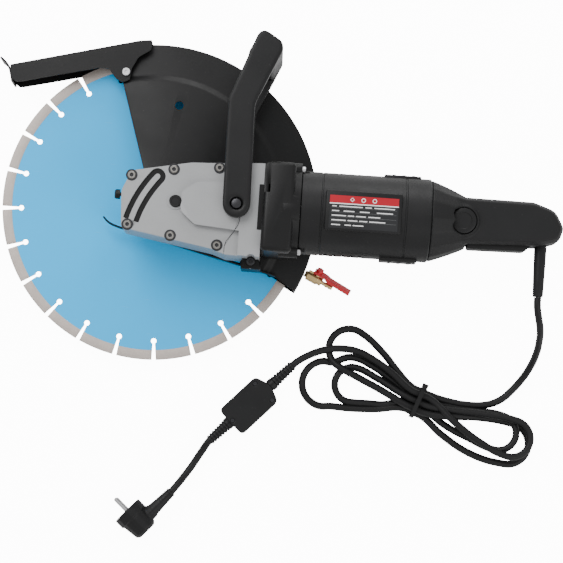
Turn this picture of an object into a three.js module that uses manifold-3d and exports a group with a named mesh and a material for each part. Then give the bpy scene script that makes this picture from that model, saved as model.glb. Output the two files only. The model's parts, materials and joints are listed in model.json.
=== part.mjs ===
// Hand-held electric concrete cut-off saw, lying on its blade side. Millimetres, +Z up.
// The blade spindle stands along +Z through the origin, and its free end is at z = 0, level with the
// guard's
// far plate. The motor runs along +X to the rear grip, and the bail handle rises along +Y.
import * as THREE from "three";
import { mergeVertices } from "three/addons/utils/BufferGeometryUtils.js";
import Module from "manifold-3d";

const wasm = await Module();
wasm.setup();

// ---- Driving dimensions ---------------------------------------------------------------------------------
const gap = 0.3; // between pieces that touch
const turn = Math.PI * 2;

// Blade and its flanges
const bladeRadius = 177.5;
const bladeMidZ = 20;
const coreThickness = 2.4;
const segmentThickness = 3.2;
const segmentDepth = 11.5;
const segmentCount = 24;
const slotPhase = 3.7; // degrees from +x to the first slot
const slotWidth = 2.4;
const slotMouth = 5;
const slotHoleRadius = 3.2;
const slotDepth = 22; // from the rim to the centre of the slot's round end
const arborRadius = 12.7;
const flangeRadius = 34;
const flangeThickness = 8.5;

// Guard
const guardRadius = 190.5;
const guardSheet = 2;
const guardHeight = 36; // top of the outer band over the far plate's underside
const plateauRadius = 151;
const plateauRise = 6;
const guardFrontAngle = 107.8;
const guardRearAngle = -27.4;
const farPlateInnerRadius = 95;
const collarRadius = 33;
const edgeFlangeTop = 46.5;
const guardHoleRadius = 4.9;
const noseClearance = 1.4; // round the rim, so that the nose guard can tilt

// Gear case
const caseBottom = 57;
const caseTop = 118;
const coverTop = 124;
const bulgeTop = 131;
const caseWall = 4;
const caseFrontX = 127;
const neckX = 102;
const noseRadius = 27;
const noseBottom = 43.5;

// Gears
const spurModule = 2;
const spindleTeeth = 25;
const pinionTeeth = 23;
const spurBottom = 63.5;
const spurFace = 9;
const bevelModule = 1.5;
const bevelTeeth = 36;
const rotorTeeth = 12;
const bevelFace = 8.5;

// Motor
const motorY = -3;
const motorZ = 95;
const collarOuter = 50;
const collarEnd = 169;
const housingOuter = 47.3;
const housingWall = 3.4;
const housingEnd = 316;
const statorLength = 64;
const statorStart = 190;
const armatureRadius = 26.5;
const airGap = 1.1;
const fanClearance = 5.9; // from the vane tips to the inside of the housing
const fanVanes = 7;

// Rear grip
const gripDepth = 50;
const gripWall = 3;
const triggerWidth = 24;
const triggerSwing = 2.2; // room in front of the trigger for its swing
const lockButtonRadius = 14.5;
const reliefX = 444;
const reliefEnd = -81;

// Bail handle
const bailX = 97.7;
const bailThickness = 13.5;
const bailLobe = 15.5;
const boltRadius = 4;
const boltHeadRadius = 5.6;

// Cord
const cordDiameter = 8.5;
const floorZ = cordDiameter / 2 + 0.05;

// ---- Worked-out places ----------------------------------------------------------------------------------
const coreBottom = bladeMidZ - coreThickness / 2;
const coreTop = bladeMidZ + coreThickness / 2;
const plateauTop = guardHeight + plateauRise;
const spindlePitch = (spurModule * spindleTeeth) / 2;
const pinionPitch = (spurModule * pinionTeeth) / 2;
const gearDistance = spindlePitch + pinionPitch;
const layshaftX = Math.sqrt(gearDistance ** 2 - motorY ** 2);
const meshAngle = Math.atan2(motorY, layshaftX);
const bevelPitch = (bevelModule * bevelTeeth) / 2;
const rotorPitch = (bevelModule * rotorTeeth) / 2;
const housingStart = collarEnd + gap;
const housingInner = housingOuter - housingWall;
const fanRadius = housingInner - fanClearance;
const bailNearZ = bulgeTop + 0.5;
const bailFarZ = caseBottom - 0.5 - bailThickness;
const bailNearTop = bailNearZ + bailThickness;

// ---- Shape helpers --------------------------------------------------------------------------------------
const rad = THREE.MathUtils.degToRad;

// A closed geometry as a solid: only positions are kept, and shared corners are merged.
function solid(geometry) {
  const bare = new THREE.BufferGeometry();
  bare.setAttribute("position", geometry.getAttribute("position"));
  if (geometry.index) bare.setIndex(geometry.index);
  const merged = mergeVertices(bare, 1e-4);
  const corners = merged.index.array;
  const kept = [];
  for (let i = 0; i < corners.length; i += 3) {
    const [a, b, c] = corners.slice(i, i + 3);
    if (a !== b && b !== c && c !== a) kept.push(a, b, c);
  }
  const make = (faces) =>
    new wasm.Manifold(
      new wasm.Mesh({
        numProp: 3,
        vertProperties: new Float32Array(merged.attributes.position.array),
        triVerts: new Uint32Array(faces),
      }),
    );
  const made = make(kept);
  return made.volume() < 0 ? make(kept.reverse()) : made;
}

const join = (...parts) => parts.reduce((a, b) => a.add(b));
const cut = (body, ...tools) => tools.reduce((a, b) => a.subtract(b), body);

// An outline drawn in the XY plane, standing from z0 to z1.
function prism(shape, z0, z1, curveSegments = 3) {
  const geometry = new THREE.ExtrudeGeometry(shape, { depth: z1 - z0, bevelEnabled: false, curveSegments });
  return solid(geometry.translate(0, 0, z0));
}

const axisTurn = { x: [0, Math.PI / 2, 0], y: [-Math.PI / 2, 0, 0], z: [0, 0, 0] };

// Turns a geometry made along +Z so that it runs along the given axis.
function along(geometry, axis) {
  const [x, y] = axisTurn[axis];
  return geometry.rotateX(x).rotateY(y);
}

// A revolved piece: the profile is a list of [radius, height along the axis], and at is its place.
function turned(profile, { axis = "z", at = [0, 0, 0], segments = 16 } = {}) {
  const points = profile.map(([r, h]) => new THREE.Vector2(r, h));
  if (profile[0][0] > 0) points.push(points[0].clone());
  const geometry = new THREE.LatheGeometry(points, segments).rotateX(Math.PI / 2);
  return solid(along(geometry, axis).translate(...at));
}

// A round bar from h0 to h1 along an axis through at.
function rod(radius, h0, h1, { axis = "z", at = [0, 0, 0], segments = 12, sides = segments } = {}) {
  const geometry = new THREE.CylinderGeometry(radius, radius, h1 - h0, sides);
  geometry.rotateX(Math.PI / 2).translate(0, 0, (h0 + h1) / 2);
  return solid(along(geometry, axis).translate(...at));
}

const ring = (inner, outer, h0, h1, options) =>
  turned([[inner, h0], [outer, h0], [outer, h1], [inner, h1]], options);

function box(x0, x1, y0, y1, z0, z1) {
  const geometry = new THREE.BoxGeometry(x1 - x0, y1 - y0, z1 - z0);
  return solid(geometry.translate((x0 + x1) / 2, (y0 + y1) / 2, (z0 + z1) / 2));
}

// A closed outline through corners [x, y, radius], each rounded by its radius.
function rounded(corners) {
  const shape = new THREE.Shape();
  const at = (i) => new THREE.Vector2(...corners[(i + corners.length) % corners.length]);
  corners.forEach(([x, y, r = 0], i) => {
    const corner = new THREE.Vector2(x, y);
    const back = at(i - 1).sub(corner);
    const ahead = at(i + 1).sub(corner);
    const half = Math.acos(back.clone().normalize().dot(ahead.clone().normalize())) / 2;
    const reach = Math.min(r / Math.tan(half), back.length() * 0.49, ahead.length() * 0.49);
    const from = corner.clone().add(back.setLength(reach));
    const to = corner.clone().add(ahead.setLength(reach));
    if (i) shape.lineTo(from.x, from.y);
    else shape.moveTo(from.x, from.y);
    if (r) shape.quadraticCurveTo(x, y, to.x, to.y);
  });
  shape.closePath();
  return shape;
}

// Corners moved inwards by a wall, for an outline drawn anticlockwise.
function inset(corners, wall) {
  return corners.map(([x, y, r = 0], i) => {
    const before = corners[(i + corners.length - 1) % corners.length];
    const after = corners[(i + 1) % corners.length];
    const a = new THREE.Vector2(x - before[0], y - before[1]).normalize();
    const b = new THREE.Vector2(after[0] - x, after[1] - y).normalize();
    const bend = 1 + a.dot(b);
    return [x + ((-a.y - b.y) * wall) / bend, y + ((a.x + b.x) * wall) / bend, Math.max(r - wall, 0)];
  });
}

// A band of even width along a curve, with round ends if wanted.
function ribbon(curve, width, divisions = 6, roundEnds = true) {
  const line = curve.getPoints(divisions);
  const side = (sign) =>
    line.map((p, i) => {
      const t = curve.getTangent(i / divisions);
      return new THREE.Vector2(p.x - t.y * sign * (width / 2), p.y + t.x * sign * (width / 2));
    });
  const cap = (centre, heading) =>
    [-45, 0, 45].map((a) => {
      const angle = heading + rad(a);
      return new THREE.Vector2(centre.x + Math.cos(angle) * (width / 2),
        centre.y + Math.sin(angle) * (width / 2));
    });
  const t0 = curve.getTangent(0);
  const t1 = curve.getTangent(1);
  const endCap = roundEnds ? cap(line[divisions], Math.atan2(t1.y, t1.x)) : [];
  const startCap = roundEnds ? cap(line[0], Math.atan2(-t0.y, -t0.x)) : [];
  return new THREE.Shape([...side(-1), ...endCap, ...side(1).reverse(), ...startCap]);
}

// A sector of a ring between two angles in degrees.
function sector(inner, outer, from, to) {
  const shape = new THREE.Shape();
  shape.absarc(0, 0, outer, rad(from), rad(to), false);
  shape.absarc(0, 0, inner, rad(to), rad(from), true);
  return shape;
}

// ---- Scene graph ----------------------------------------------------------------------------------------
const saw = new THREE.Group();

const finishes = {
  castAluminium: { color: 0xa8a9ab, roughness: 0.45, metalness: 0.6 },
  blackPaint: { color: 0x232325, roughness: 0.45, metalness: 0.1 },
  blackPlastic: { color: 0x1f1f21, roughness: 0.55, metalness: 0 },
  blackOxide: { color: 0x1a1a1c, roughness: 0.4, metalness: 0.7 },
  steel: { color: 0xb9bcc0, roughness: 0.3, metalness: 1 },
  bladeBlue: { color: 0x34b4e8, roughness: 0.35, metalness: 0.1 },
  brass: { color: 0xb08d4c, roughness: 0.3, metalness: 1 },
  redDip: { color: 0xb3202c, roughness: 0.4, metalness: 0 },
  rubber: { color: 0x18181a, roughness: 0.7, metalness: 0 },
  copper: { color: 0xb4622d, roughness: 0.4, metalness: 1 },
  carbon: { color: 0x2b2b2b, roughness: 0.8, metalness: 0 },
  greyPlastic: { color: 0x77797c, roughness: 0.5, metalness: 0 },
};

function addNode(name, body, finish, parent = saw) {
  const mesh = body.getMesh();
  const geometry = new THREE.BufferGeometry();
  const positions = new Float32Array(mesh.numVert * 3);
  for (let i = 0; i < mesh.numVert; i++)
    positions.set(mesh.vertProperties.subarray(i * mesh.numProp, i * mesh.numProp + 3), i * 3);
  geometry.setAttribute("position", new THREE.BufferAttribute(positions, 3));
  geometry.setIndex(new THREE.BufferAttribute(mesh.triVerts, 1));
  geometry.computeVertexNormals();
  const node = new THREE.Mesh(geometry, new THREE.MeshStandardMaterial(finishes[finish]));
  node.name = name;
  parent.add(node);
}

// ---- Gear case and cover --------------------------------------------------------------------------------
const caseCorners = [
  [-22, 29, 9], [-32.5, 6, 20], [-30, -36, 4], [72, -53.5, 6], [88, -59, 5], [caseFrontX, -60, 0],
  [caseFrontX, 45.6, 0], [44, 42, 20],
];
const caseOutline = rounded(caseCorners);
const coverScrews = [[-22, 23.6], [25, 33], [76, 38], [-23.1, -32.4], [25.7, -41.7], [78.6, -49.3]];
const coverScrewHead = { radius: 4.6, height: 4, recess: 5.4 };
const screwBoss = 6.5;
const plugPlace = [29.1, -2.8];
const plugRadius = 6.8;
const bearingPlay = 0.3;
const spindleBearing = { inner: 10, outer: 21, z0: 44, z1: 56 };
const spindleTopBearing = { inner: 8, outer: 16, z0: 104, z1: 116 };
const layshaftBush = { radius: 7, bore: 7.3, wall: 6, z0: caseBottom + 2, z1: spurBottom - 1 };
const layshaftTopBearing = { inner: 7, outer: 15, z0: 106, z1: 117 };
const motorFrontBearing = { inner: 7.5, outer: 17.5, x0: 108, x1: 120 };
const lockGap = 11; // the tooth gap, counted from the mesh, that the spindle lock's pin enters
const parting = [[neckX, 70, 0], [160, 70, 0], [160, -80, 0], [86.6, -80, 0], [86.6, -50, 6], [98, -30, 8],
  [neckX, -15, 6]];
const bulgeCorners = [[neckX + 1, 22.8, 0], [52, 20, 12], [35.5, 8, 10], [35.5, -14, 10], [52, -28, 10],
  [neckX + 1, -32, 0]];
const clampScrewPlace = [117.3, -62.5];
const clampLug = { radius: 7.5, z0: 88, z1: 98 };

const bosses = (z0, z1) =>
  join(...coverScrews.map(([x, y]) => rod(screwBoss, z0, z1, { at: [x, y, 0], segments: 8 })));
const screwHoles = (z0, z1, radius = 2.7) =>
  join(...coverScrews.map(([x, y]) => rod(radius, z0, z1, { at: [x, y, 0], segments: 8 })));
const motorAxisAt = { axis: "x", at: [0, motorY, motorZ] };
const lockAngle = meshAngle + ((lockGap + 0.5) * turn) / spindleTeeth;
const spindleLockAt = [0, spindlePitch * Math.sin(lockAngle), spurBottom + spurFace / 2];

function gearCase() {
  const inner = rounded(inset(caseCorners, caseWall));
  const partingRound = prism(rounded(parting.map(([x, y, r]) => [x + gap, y, r])), caseTop - 1,
    bulgeTop + 1);
  const neckOnly = box(neckX + gap, caseFrontX + 1, -80, 80, caseTop - 1, bulgeTop + 1);
  const raised = join(prism(caseOutline, caseTop - 1, bulgeTop), prism(rounded(bulgeCorners), caseTop,
    bulgeTop));
  const shoulder = join(
    prism(caseOutline, caseTop - 1, coverTop).intersect(partingRound),
    raised.intersect(neckOnly),
    prism(rounded(bulgeCorners), coverTop - 1, bulgeTop).intersect(partingRound),
  );
  const shell = join(
    prism(caseOutline, caseBottom, caseTop),
    bosses(caseTop - 22, caseTop),
    shoulder,
    rod(clampLug.radius, clampLug.z0, clampLug.z1, { at: [...clampScrewPlace, 0] }),
    rod(noseRadius, noseBottom, caseBottom + 1, { segments: 20 }),
  );
  const pocket = cut(
    prism(inner, caseBottom + caseWall, caseTop + 1),
    box(motorFrontBearing.x0 - 6, 200, -100, 100, 0, 200),
    bosses(caseTop - 22, caseTop + 2),
    rod(10, 0, caseTop - 45, { at: [bailX, motorY, 0] }),
    rod(layshaftBush.bore + layshaftBush.wall, 0, layshaftBush.z1, { at: [layshaftX, motorY, 0] }),
  );
  const b = spindleBearing;
  const l = layshaftBush;
  const m = motorFrontBearing;
  return cut(
    shell,
    pocket.subtract(prism(rounded(parting), 0, 200).intersect(box(0, 300, -200, 200, caseTop, 200))),
    rod(b.outer + bearingPlay, b.z0 - 1, b.z1 + bearingPlay, { segments: 20 }),
    rod(15, b.z1 - 1, caseBottom + caseWall + 1),
    rod(l.bore, l.z0, l.z1 + 2, { at: [layshaftX, motorY, 0] }),
    rod(m.outer + bearingPlay, m.x0, caseFrontX + 1, { ...motorAxisAt, segments: 20 }),
    rod(11, 90, m.x0 + 1, motorAxisAt),
    rod(boltRadius + 0.4, caseBottom - 1, caseBottom + 10, { at: [bailX, motorY, 0] }),
    rod(boltRadius + 0.4, bulgeTop - 11.5, bulgeTop + 1, { at: [bailX, motorY, 0] }),
    rod(2.6, clampLug.z0 - 25, clampLug.z1 + 1, { at: [...clampScrewPlace, 0], segments: 12 }),
    rod(5.4, clampLug.z1, bulgeTop + 1, { at: [...clampScrewPlace, 0], segments: 16 }),
    screwHoles(caseTop - 12, caseTop + 1),
    rod(2.6, -60, -20, { axis: "x", at: spindleLockAt, segments: 12 }),
  );
}

function gearCover() {
  const keep = prism(rounded(parting), 0, 200);
  const top = spindleTopBearing;
  const lay = layshaftTopBearing;
  const plate = join(
    prism(caseOutline, caseTop + gap, coverTop),
    bosses(caseTop + gap, coverTop),
    prism(rounded(bulgeCorners), coverTop - 1, bulgeTop),
  );
  const bearingBosses = join(
    rod(top.outer + 4, top.z0 + 2, caseTop + 1, { segments: 20 }),
    rod(lay.outer + 3.5, lay.z0 + 2, caseTop + 1, { at: [layshaftX, motorY, 0], segments: 20 }),
  );
  const groove = prism(ribbon(slotCurve(), 15), coverTop - 2.4, coverTop + 1);
  const strip = prism(ribbon(slotCurve(), 4.6), coverTop - 3, coverTop - 0.4);
  const ringAbovePlug = ring(plugRadius + 0.4, plugRadius + 2.8, coverTop - 1, coverTop + 0.8, {
    at: [...plugPlace, 0],
    segments: 16,
  });
  const body = join(cut(plate, keep, groove), strip, ringAbovePlug, bearingBosses);
  return cut(
    body,
    rod(top.outer + bearingPlay, top.z0 - 1, top.z1 + bearingPlay, { segments: 20 }),
    rod(lay.outer + bearingPlay, lay.z0 - 1, lay.z1 + bearingPlay, { at: [layshaftX, motorY, 0],
      segments: 20 }),
    rod(4.9, caseTop - 1, coverTop + 2, { at: [...plugPlace, 0], segments: 16 }),
    rod(plugRadius + 0.4, coverTop + 0.1, bulgeTop + 1, { at: [...plugPlace, 0], segments: 20 }),
    rod(boltRadius + 0.4, bulgeTop - 11.5, bulgeTop + 1, { at: [bailX, motorY, 0] }),
    screwHoles(caseTop - 1, coverTop + 1),
    screwHoles(coverTop - 2, coverTop + 1, coverScrewHead.recess),
  );
}

// Centre line of the arc-shaped groove on the cover's left end.
function slotCurve() {
  return new THREE.QuadraticBezierCurve(
    new THREE.Vector2(7, 24),
    new THREE.Vector2(-12, 1),
    new THREE.Vector2(-19.5, -27),
  );
}

// A cap screw along +Z: its head sits at seat, and its shank runs below.
function capScrew(x, y, seat, head, shankRadius, shankLength) {
  return turned(
    [[0, seat - shankLength], [shankRadius, seat - shankLength], [shankRadius, seat], [head.radius, seat],
      [head.radius, seat + head.height], [0, seat + head.height]],
    { at: [x, y, 0], segments: 10 },
  );
}

function buildCase() {
  addNode("gear_case", gearCase(), "castAluminium");
  addNode("gear_cover", gearCover(), "castAluminium");
  coverScrews.forEach(([x, y], i) => {
    const screw = capScrew(x, y, coverTop - 2 + gap, coverScrewHead, 2.4, 14);
    addNode(`cover_screw_${i + 1}`, screw, "blackOxide");
  });
  const plug = turned(
    [[0, caseTop + 1], [4.6, caseTop + 1], [4.6, coverTop + gap], [plugRadius, coverTop + gap],
      [plugRadius, coverTop + 2.6], [plugRadius - 0.8, coverTop + 3.2], [0, coverTop + 3.2]],
    { at: [...plugPlace, 0], segments: 16 },
  );
  addNode("oil_plug", plug, "blackPlastic");
  const [x, y] = clampScrewPlace;
  addNode("guard_clamp_screw", capScrew(x, y, clampLug.z1 + gap, { radius: 4.8, height: 5 }, 2.3, 30),
    "blackOxide");
  const blockShape = rounded([[106, -60.6, 1], [106, -70, 2], [129, -70, 2], [129, -60.6, 1]]);
  const block = cut(
    prism(blockShape, edgeFlangeTop + 0.6, clampLug.z0 - gap),
    rod(2.6, clampLug.z0 - 25, clampLug.z0, { at: [x, y, 0], segments: 12 }),
  );
  addNode("guard_clamp_block", block, "blackPaint");
  const lockTip = -Math.sqrt((spindlePitch + 3.6) ** 2 - spindleLockAt[1] ** 2);
  const lockWall = -32.6;
  const lock = turned(
    [[0, lockTip], [1, lockTip], [1.3, lockTip - 1.5], [2.3, lockTip - 1.5], [2.3, lockWall - 5], [5.6,
      lockWall - 5],
      [5.6, lockWall - 9.5], [4.6, lockWall - 11], [0, lockWall - 11]],
    { axis: "x", at: spindleLockAt, segments: 16 },
  );
  addNode("spindle_lock", lock, "blackPlastic");
}

// ---- Spindle, blade and gears ---------------------------------------------------------------------------
// Half the angle that a spur tooth spans at a radius, from the involute of a 20 degree gear.
function toothHalfAngle(pitch, teeth, radius, thinning) {
  const base = pitch * Math.cos(rad(20));
  const inv = (a) => Math.tan(a) - a;
  const atRadius = radius > base ? Math.acos(base / radius) : 0;
  return Math.PI / (2 * teeth) - thinning / (2 * pitch) + inv(rad(20)) - inv(atRadius);
}

// A gear outline with one tooth centred on the angle first.
function gearOutline(teeth, pitch, addendum, dedendum, thinning, first) {
  const points = [];
  const heights = [-dedendum, addendum];
  for (let i = 0; i < teeth; i++) {
    const centre = first + (turn * i) / teeth;
    const flank = heights.map((h) => [pitch + h, toothHalfAngle(pitch, teeth, pitch + h, thinning)]);
    flank.forEach(([r, a]) => points.push([r, centre - a]));
    flank.reverse().forEach(([r, a]) => points.push([r, centre + a]));
  }
  return new THREE.Shape(points.map(([r, a]) => new THREE.Vector2(r * Math.cos(a), r * Math.sin(a))));
}

// A straight bevel gear along +Z with its apex at the origin. Each tooth is the virtual spur gear's
// tooth, drawn
// on the plane of the pitch circle and carried along rays from the apex, out to heel times that plane's
// distance.
function bevelGear(teeth, pitch, mate, addendum, dedendum, thinning, first, heel = 1) {
  const cone = Math.atan2(pitch, mate);
  const slant = Math.hypot(pitch, mate);
  const virtualPitch = slant * Math.tan(cone);
  const virtualTeeth = teeth / Math.cos(cone);
  const near = (mate * (slant - bevelFace)) / slant;
  const points = [];
  for (let i = 0; i < teeth; i++) {
    const centre = first + (turn * i) / teeth;
    const flank = [-dedendum, addendum].map((h) => {
      const rho = virtualPitch + h;
      const half = toothHalfAngle(virtualPitch, virtualTeeth, rho, thinning) / Math.cos(cone);
      const axial = slant / Math.cos(cone) - rho * Math.sin(cone);
      return [(rho * Math.cos(cone) * mate) / axial, half];
    });
    flank.forEach(([r, a]) => points.push(new THREE.Vector2(r * Math.cos(centre - a),
      r * Math.sin(centre - a))));
    flank.reverse();
    flank.forEach(([r, a]) => points.push(new THREE.Vector2(r * Math.cos(centre + a),
      r * Math.sin(centre + a))));
  }
  const geometry = new THREE.ExtrudeGeometry(new THREE.Shape(points), { depth: 1, bevelEnabled: false });
  const place = geometry.getAttribute("position");
  for (let i = 0; i < place.count; i++) {
    const distance = place.getZ(i) > 0.5 ? mate * heel : near;
    const scale = distance / mate;
    place.setXYZ(i, place.getX(i) * scale, place.getY(i) * scale, distance);
  }
  return geometry;
}

function blade() {
  const outline = new THREE.Shape();
  const pitchAngle = turn / segmentCount;
  const hole = bladeRadius - slotDepth;
  const spot = (centre, radial, across) => [
    Math.cos(centre) * radial - Math.sin(centre) * across,
    Math.sin(centre) * radial + Math.cos(centre) * across,
  ];
  const rimRadius = bladeRadius - 0.6;
  for (let i = 0; i < segmentCount; i++) {
    const centre = rad(slotPhase) + i * pitchAngle;
    if (i === 0) outline.moveTo(...spot(centre, rimRadius, -slotMouth / 2));
    outline.lineTo(...spot(centre, hole + slotHoleRadius, -slotWidth / 2));
    for (let a = 90; a < 300; a += 90)
      outline.lineTo(...spot(centre, hole + slotHoleRadius * Math.cos(rad(a)),
        -slotHoleRadius * Math.sin(rad(a))));
    outline.lineTo(...spot(centre, hole + slotHoleRadius, slotWidth / 2));
    outline.lineTo(...spot(centre, rimRadius, slotMouth / 2));
    if (i < segmentCount - 1) outline.lineTo(...spot(centre + pitchAngle, rimRadius, -slotMouth / 2));
  }
  outline.closePath();
  outline.holes.push(new THREE.Path().absarc(0, 0, arborRadius, 0, turn, true));
  const core = prism(outline, coreBottom, coreTop, 14);
  const segments = [];
  const half = pitchAngle / 2 - Math.asin(slotMouth / 2 / bladeRadius);
  for (let i = 0; i < segmentCount; i++) {
    const centre = THREE.MathUtils.radToDeg((i + 0.5) * pitchAngle) + slotPhase;
    const arc = THREE.MathUtils.radToDeg(half);
    const shape = sector(bladeRadius - segmentDepth, bladeRadius, centre - arc, centre + arc);
    segments.push(prism(shape, bladeMidZ - segmentThickness / 2, bladeMidZ + segmentThickness / 2, 1));
  }
  return join(core, ...segments);
}

function buildSpindle() {
  const nutTop = coreBottom - flangeThickness - gap;
  const b = spindleBearing;
  const t = spindleTopBearing;
  const seat = coreTop + flangeThickness;
  const spindle = turned(
    [[0, 0], [7, 0], [8, 1], [8, nutTop], [10, nutTop + 1.5], [10, seat + gap], [13.5, seat + gap],
      [13.5, b.z0 - gap], [b.inner, b.z0 - gap], [b.inner, spurBottom + spurFace + 2],
      [t.inner, spurBottom + spurFace + 4], [t.inner, t.z1 - 0.5], [0, t.z1 - 0.5]],
    { segments: 16 },
  );
  addNode("spindle", spindle, "steel");
  const gearShape = gearOutline(spindleTeeth, spindlePitch, 1.8, 2.3, 0.3, meshAngle);
  gearShape.holes.push(new THREE.Path().absarc(0, 0, b.inner + gap, 0, turn, true));
  addNode("spindle_gear", prism(gearShape, spurBottom, spurBottom + spurFace, 8), "steel");
  const flange = (z0, z1, relief) =>
    turned([[10 + gap, z0], [flangeRadius, z0], [flangeRadius, z1], [flangeRadius - 9, z1],
      [flangeRadius - 11, z1 - relief],
      [10 + gap, z1 - relief]], { segments: 20 });
  const inner = join(
    ring(10 + gap, flangeRadius, coreTop + gap, seat, { segments: 20 }),
    ring(10 + gap, arborRadius - 0.25, coreBottom + 0.4, coreTop + gap + 0.5, { segments: 20 }),
  );
  addNode("inner_flange", inner, "steel");
  addNode("diamond_blade", blade(), "bladeBlue");
  addNode("outer_flange", flange(nutTop + gap, coreBottom - gap, 1), "steel");
  const nut = cut(rod(13.5, 2, nutTop, { sides: 6 }), rod(8 + gap, 1, nutTop + 1, { segments: 20 }));
  addNode("spindle_nut", nut, "steel");
  addNode("spindle_bearing", ring(b.inner + bearingPlay, b.outer, b.z0, b.z1, { segments: 20 }), "steel");
  addNode("spindle_top_bearing", ring(t.inner + bearingPlay, t.outer, t.z0, t.z1, { segments: 20 }),
    "steel");
}

function buildLayshaft() {
  const l = layshaftBush;
  const t = layshaftTopBearing;
  const at = [layshaftX, motorY, 0];
  const shape = gearOutline(pinionTeeth, pinionPitch, 1.8, 2.3, 0.3,
    meshAngle + Math.PI + Math.PI / pinionTeeth);
  const pinion = prism(shape, 0, spurFace).translate([...at.slice(0, 2), spurBottom]);
  const shaft = turned(
    [[0, l.z0 + gap], [l.radius, l.z0 + gap], [l.radius, spurBottom - 0.5], [11, spurBottom - 0.5],
      [11, spurBottom + spurFace + 1],
      [8, spurBottom + spurFace + 1], [8, t.z0 - 1], [t.inner, t.z0 - 1], [t.inner, t.z1 - 0.5], [0,
        t.z1 - 0.5]],
    { at, segments: 16 },
  );
  addNode("layshaft", join(shaft, pinion), "steel");
  const heel = 1.15;
  const geometry = bevelGear(bevelTeeth, bevelPitch, rotorPitch, 1.1, 1.7, 0.3, 0, heel);
  geometry.rotateX(Math.PI).translate(layshaftX, motorY, motorZ);
  const crownBack = motorZ - rotorPitch * heel;
  const crownRadius = bevelPitch - 1.5;
  const crown = join(
    solid(geometry),
    turned([[0, crownBack - 5], [14, crownBack - 5], [crownRadius, crownBack - 1], [crownRadius,
      crownBack + 0.05],
      [0, crownBack + 0.05]], { at, segments: 16 }),
    rod(13, spurBottom + spurFace + 1 + gap, crownBack - 4, { at }),
  );
  addNode("bevel_gear", cut(crown, rod(8 + gap, 0, 200, { at })), "steel");
  const seats = { at, segments: 16 };
  addNode("layshaft_top_bearing", ring(t.inner + bearingPlay, t.outer, t.z0, t.z1, seats), "steel");
}

// ---- Motor ----------------------------------------------------------------------------------------------
const rearBearing = { inner: 5, outer: 11, x0: 300, x1: 308 };
const commutator = { radius: 15, x0: 264, x1: 288 };
const collarScrews = [46, -46].map((y) => [motorY + y, motorZ + 17]);

function buildRotor() {
  const m = motorFrontBearing;
  const geometry = bevelGear(rotorTeeth, rotorPitch, bevelPitch, 1.3, 1.6, 0.3, Math.PI / rotorTeeth);
  geometry.rotateY(Math.PI / 2).translate(layshaftX, motorY, motorZ);
  const back = layshaftX + bevelPitch;
  const shaft = turned(
    [[0, back - 1], [6.3, back - 1], [6.3, m.x0 - 1], [m.inner, m.x0 - 1], [m.inner, m.x1 + 1], [8.5,
      m.x1 + 1],
      [8.5, rearBearing.x0 - 1], [rearBearing.inner, rearBearing.x0 - 1], [rearBearing.inner,
        rearBearing.x1 - 0.5],
      [0, rearBearing.x1 - 0.5]],
    motorAxisAt,
  );
  addNode("rotor_shaft", join(solid(geometry), shaft), "steel");
  const core = join(
    ring(8.5 + gap, armatureRadius, statorStart + 2, statorStart + statorLength - 2, motorAxisAt),
    ring(8.5 + gap, 12, statorStart, commutator.x0 + 1, motorAxisAt),
    ring(8.5 + gap, commutator.radius, commutator.x0, commutator.x1, motorAxisAt),
  );
  addNode("armature", core, "copper");
  const blades = [];
  for (let i = 0; i < fanVanes; i++) {
    const vane = new THREE.BoxGeometry(11, 2, fanRadius - 13).translate(178, 0, (fanRadius + 13) / 2 - 0.5);
    blades.push(solid(vane.rotateX((turn * i) / fanVanes).translate(0, motorY, motorZ)));
  }
  const disc = join(
    ring(8.5 + gap, fanRadius, 183, 185, motorAxisAt),
    ring(8.5 + gap, 14, 172, 184, motorAxisAt),
  );
  addNode("fan", join(disc, ...blades), "blackPlastic");
}

function motorCollar() {
  const lugs = collarScrews.map(([y, z]) => rod(6, caseFrontX + gap, collarEnd, { axis: "x", at: [0, y,
    z], segments: 16 }));
  return cut(
    join(rod(collarOuter, caseFrontX + gap, collarEnd, { ...motorAxisAt, segments: 20 }), ...lugs),
    rod(collarOuter - 6, caseFrontX + 5, collarEnd + 1, { ...motorAxisAt, segments: 20 }),
    rod(motorFrontBearing.outer - 3, caseFrontX - 1, caseFrontX + 6, motorAxisAt),
    ...collarScrews.map(([y, z]) => rod(2.3, collarEnd - 20, collarEnd + 1, { axis: "x", at: [0, y, z],
      segments: 12 })),
  );
}

const labelPad = { x0: 198, x1: 281, halfWidth: 21, top: 143.5 };

function motorHousing() {
  const pad = labelPad;
  const sidePads = [
    box(262, 304, motorY + 38, motorY + housingOuter + 1.5, motorZ - 12, motorZ + 12),
    box(262, 304, motorY - housingOuter - 2.5, motorY - 38, motorZ - 12, motorZ + 12),
  ];
  const r = rearBearing;
  const solidBody = join(
    rod(housingOuter, housingStart, housingEnd, { ...motorAxisAt, segments: 20 }),
    box(pad.x0, pad.x1, motorY - pad.halfWidth, motorY + pad.halfWidth, motorZ + 30, pad.top),
    ...sidePads,
  );
  const hollow = cut(
    rod(housingInner, housingStart - 1, housingEnd - 6, { ...motorAxisAt, segments: 20 }),
    ring(r.outer + bearingPlay, r.outer + 4, r.x0 - 2, housingEnd, motorAxisAt),
  );
  const vents = [];
  for (let i = 0; i < 5; i++) {
    const x = 199 + i * 9.8;
    vents.push(box(x, x + 3.4, motorY - 70, motorY - 30, motorZ - 10, motorZ + 10));
    vents.push(box(x, x + 3.4, motorY + 30, motorY + 70, motorZ - 10, motorZ + 10));
  }
  return cut(
    solidBody,
    hollow,
    rod(2, housingEnd - 20, housingEnd + 1, { axis: "x", at: [0, motorY + 25, motorZ], segments: 10 }),
    ...vents,
    ...collarScrews.map(([y, z]) => rod(5.4, housingStart - 1, housingStart + 8, { axis: "x", at: [0,
      y, z], segments: 16 })),
  );
}

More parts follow.
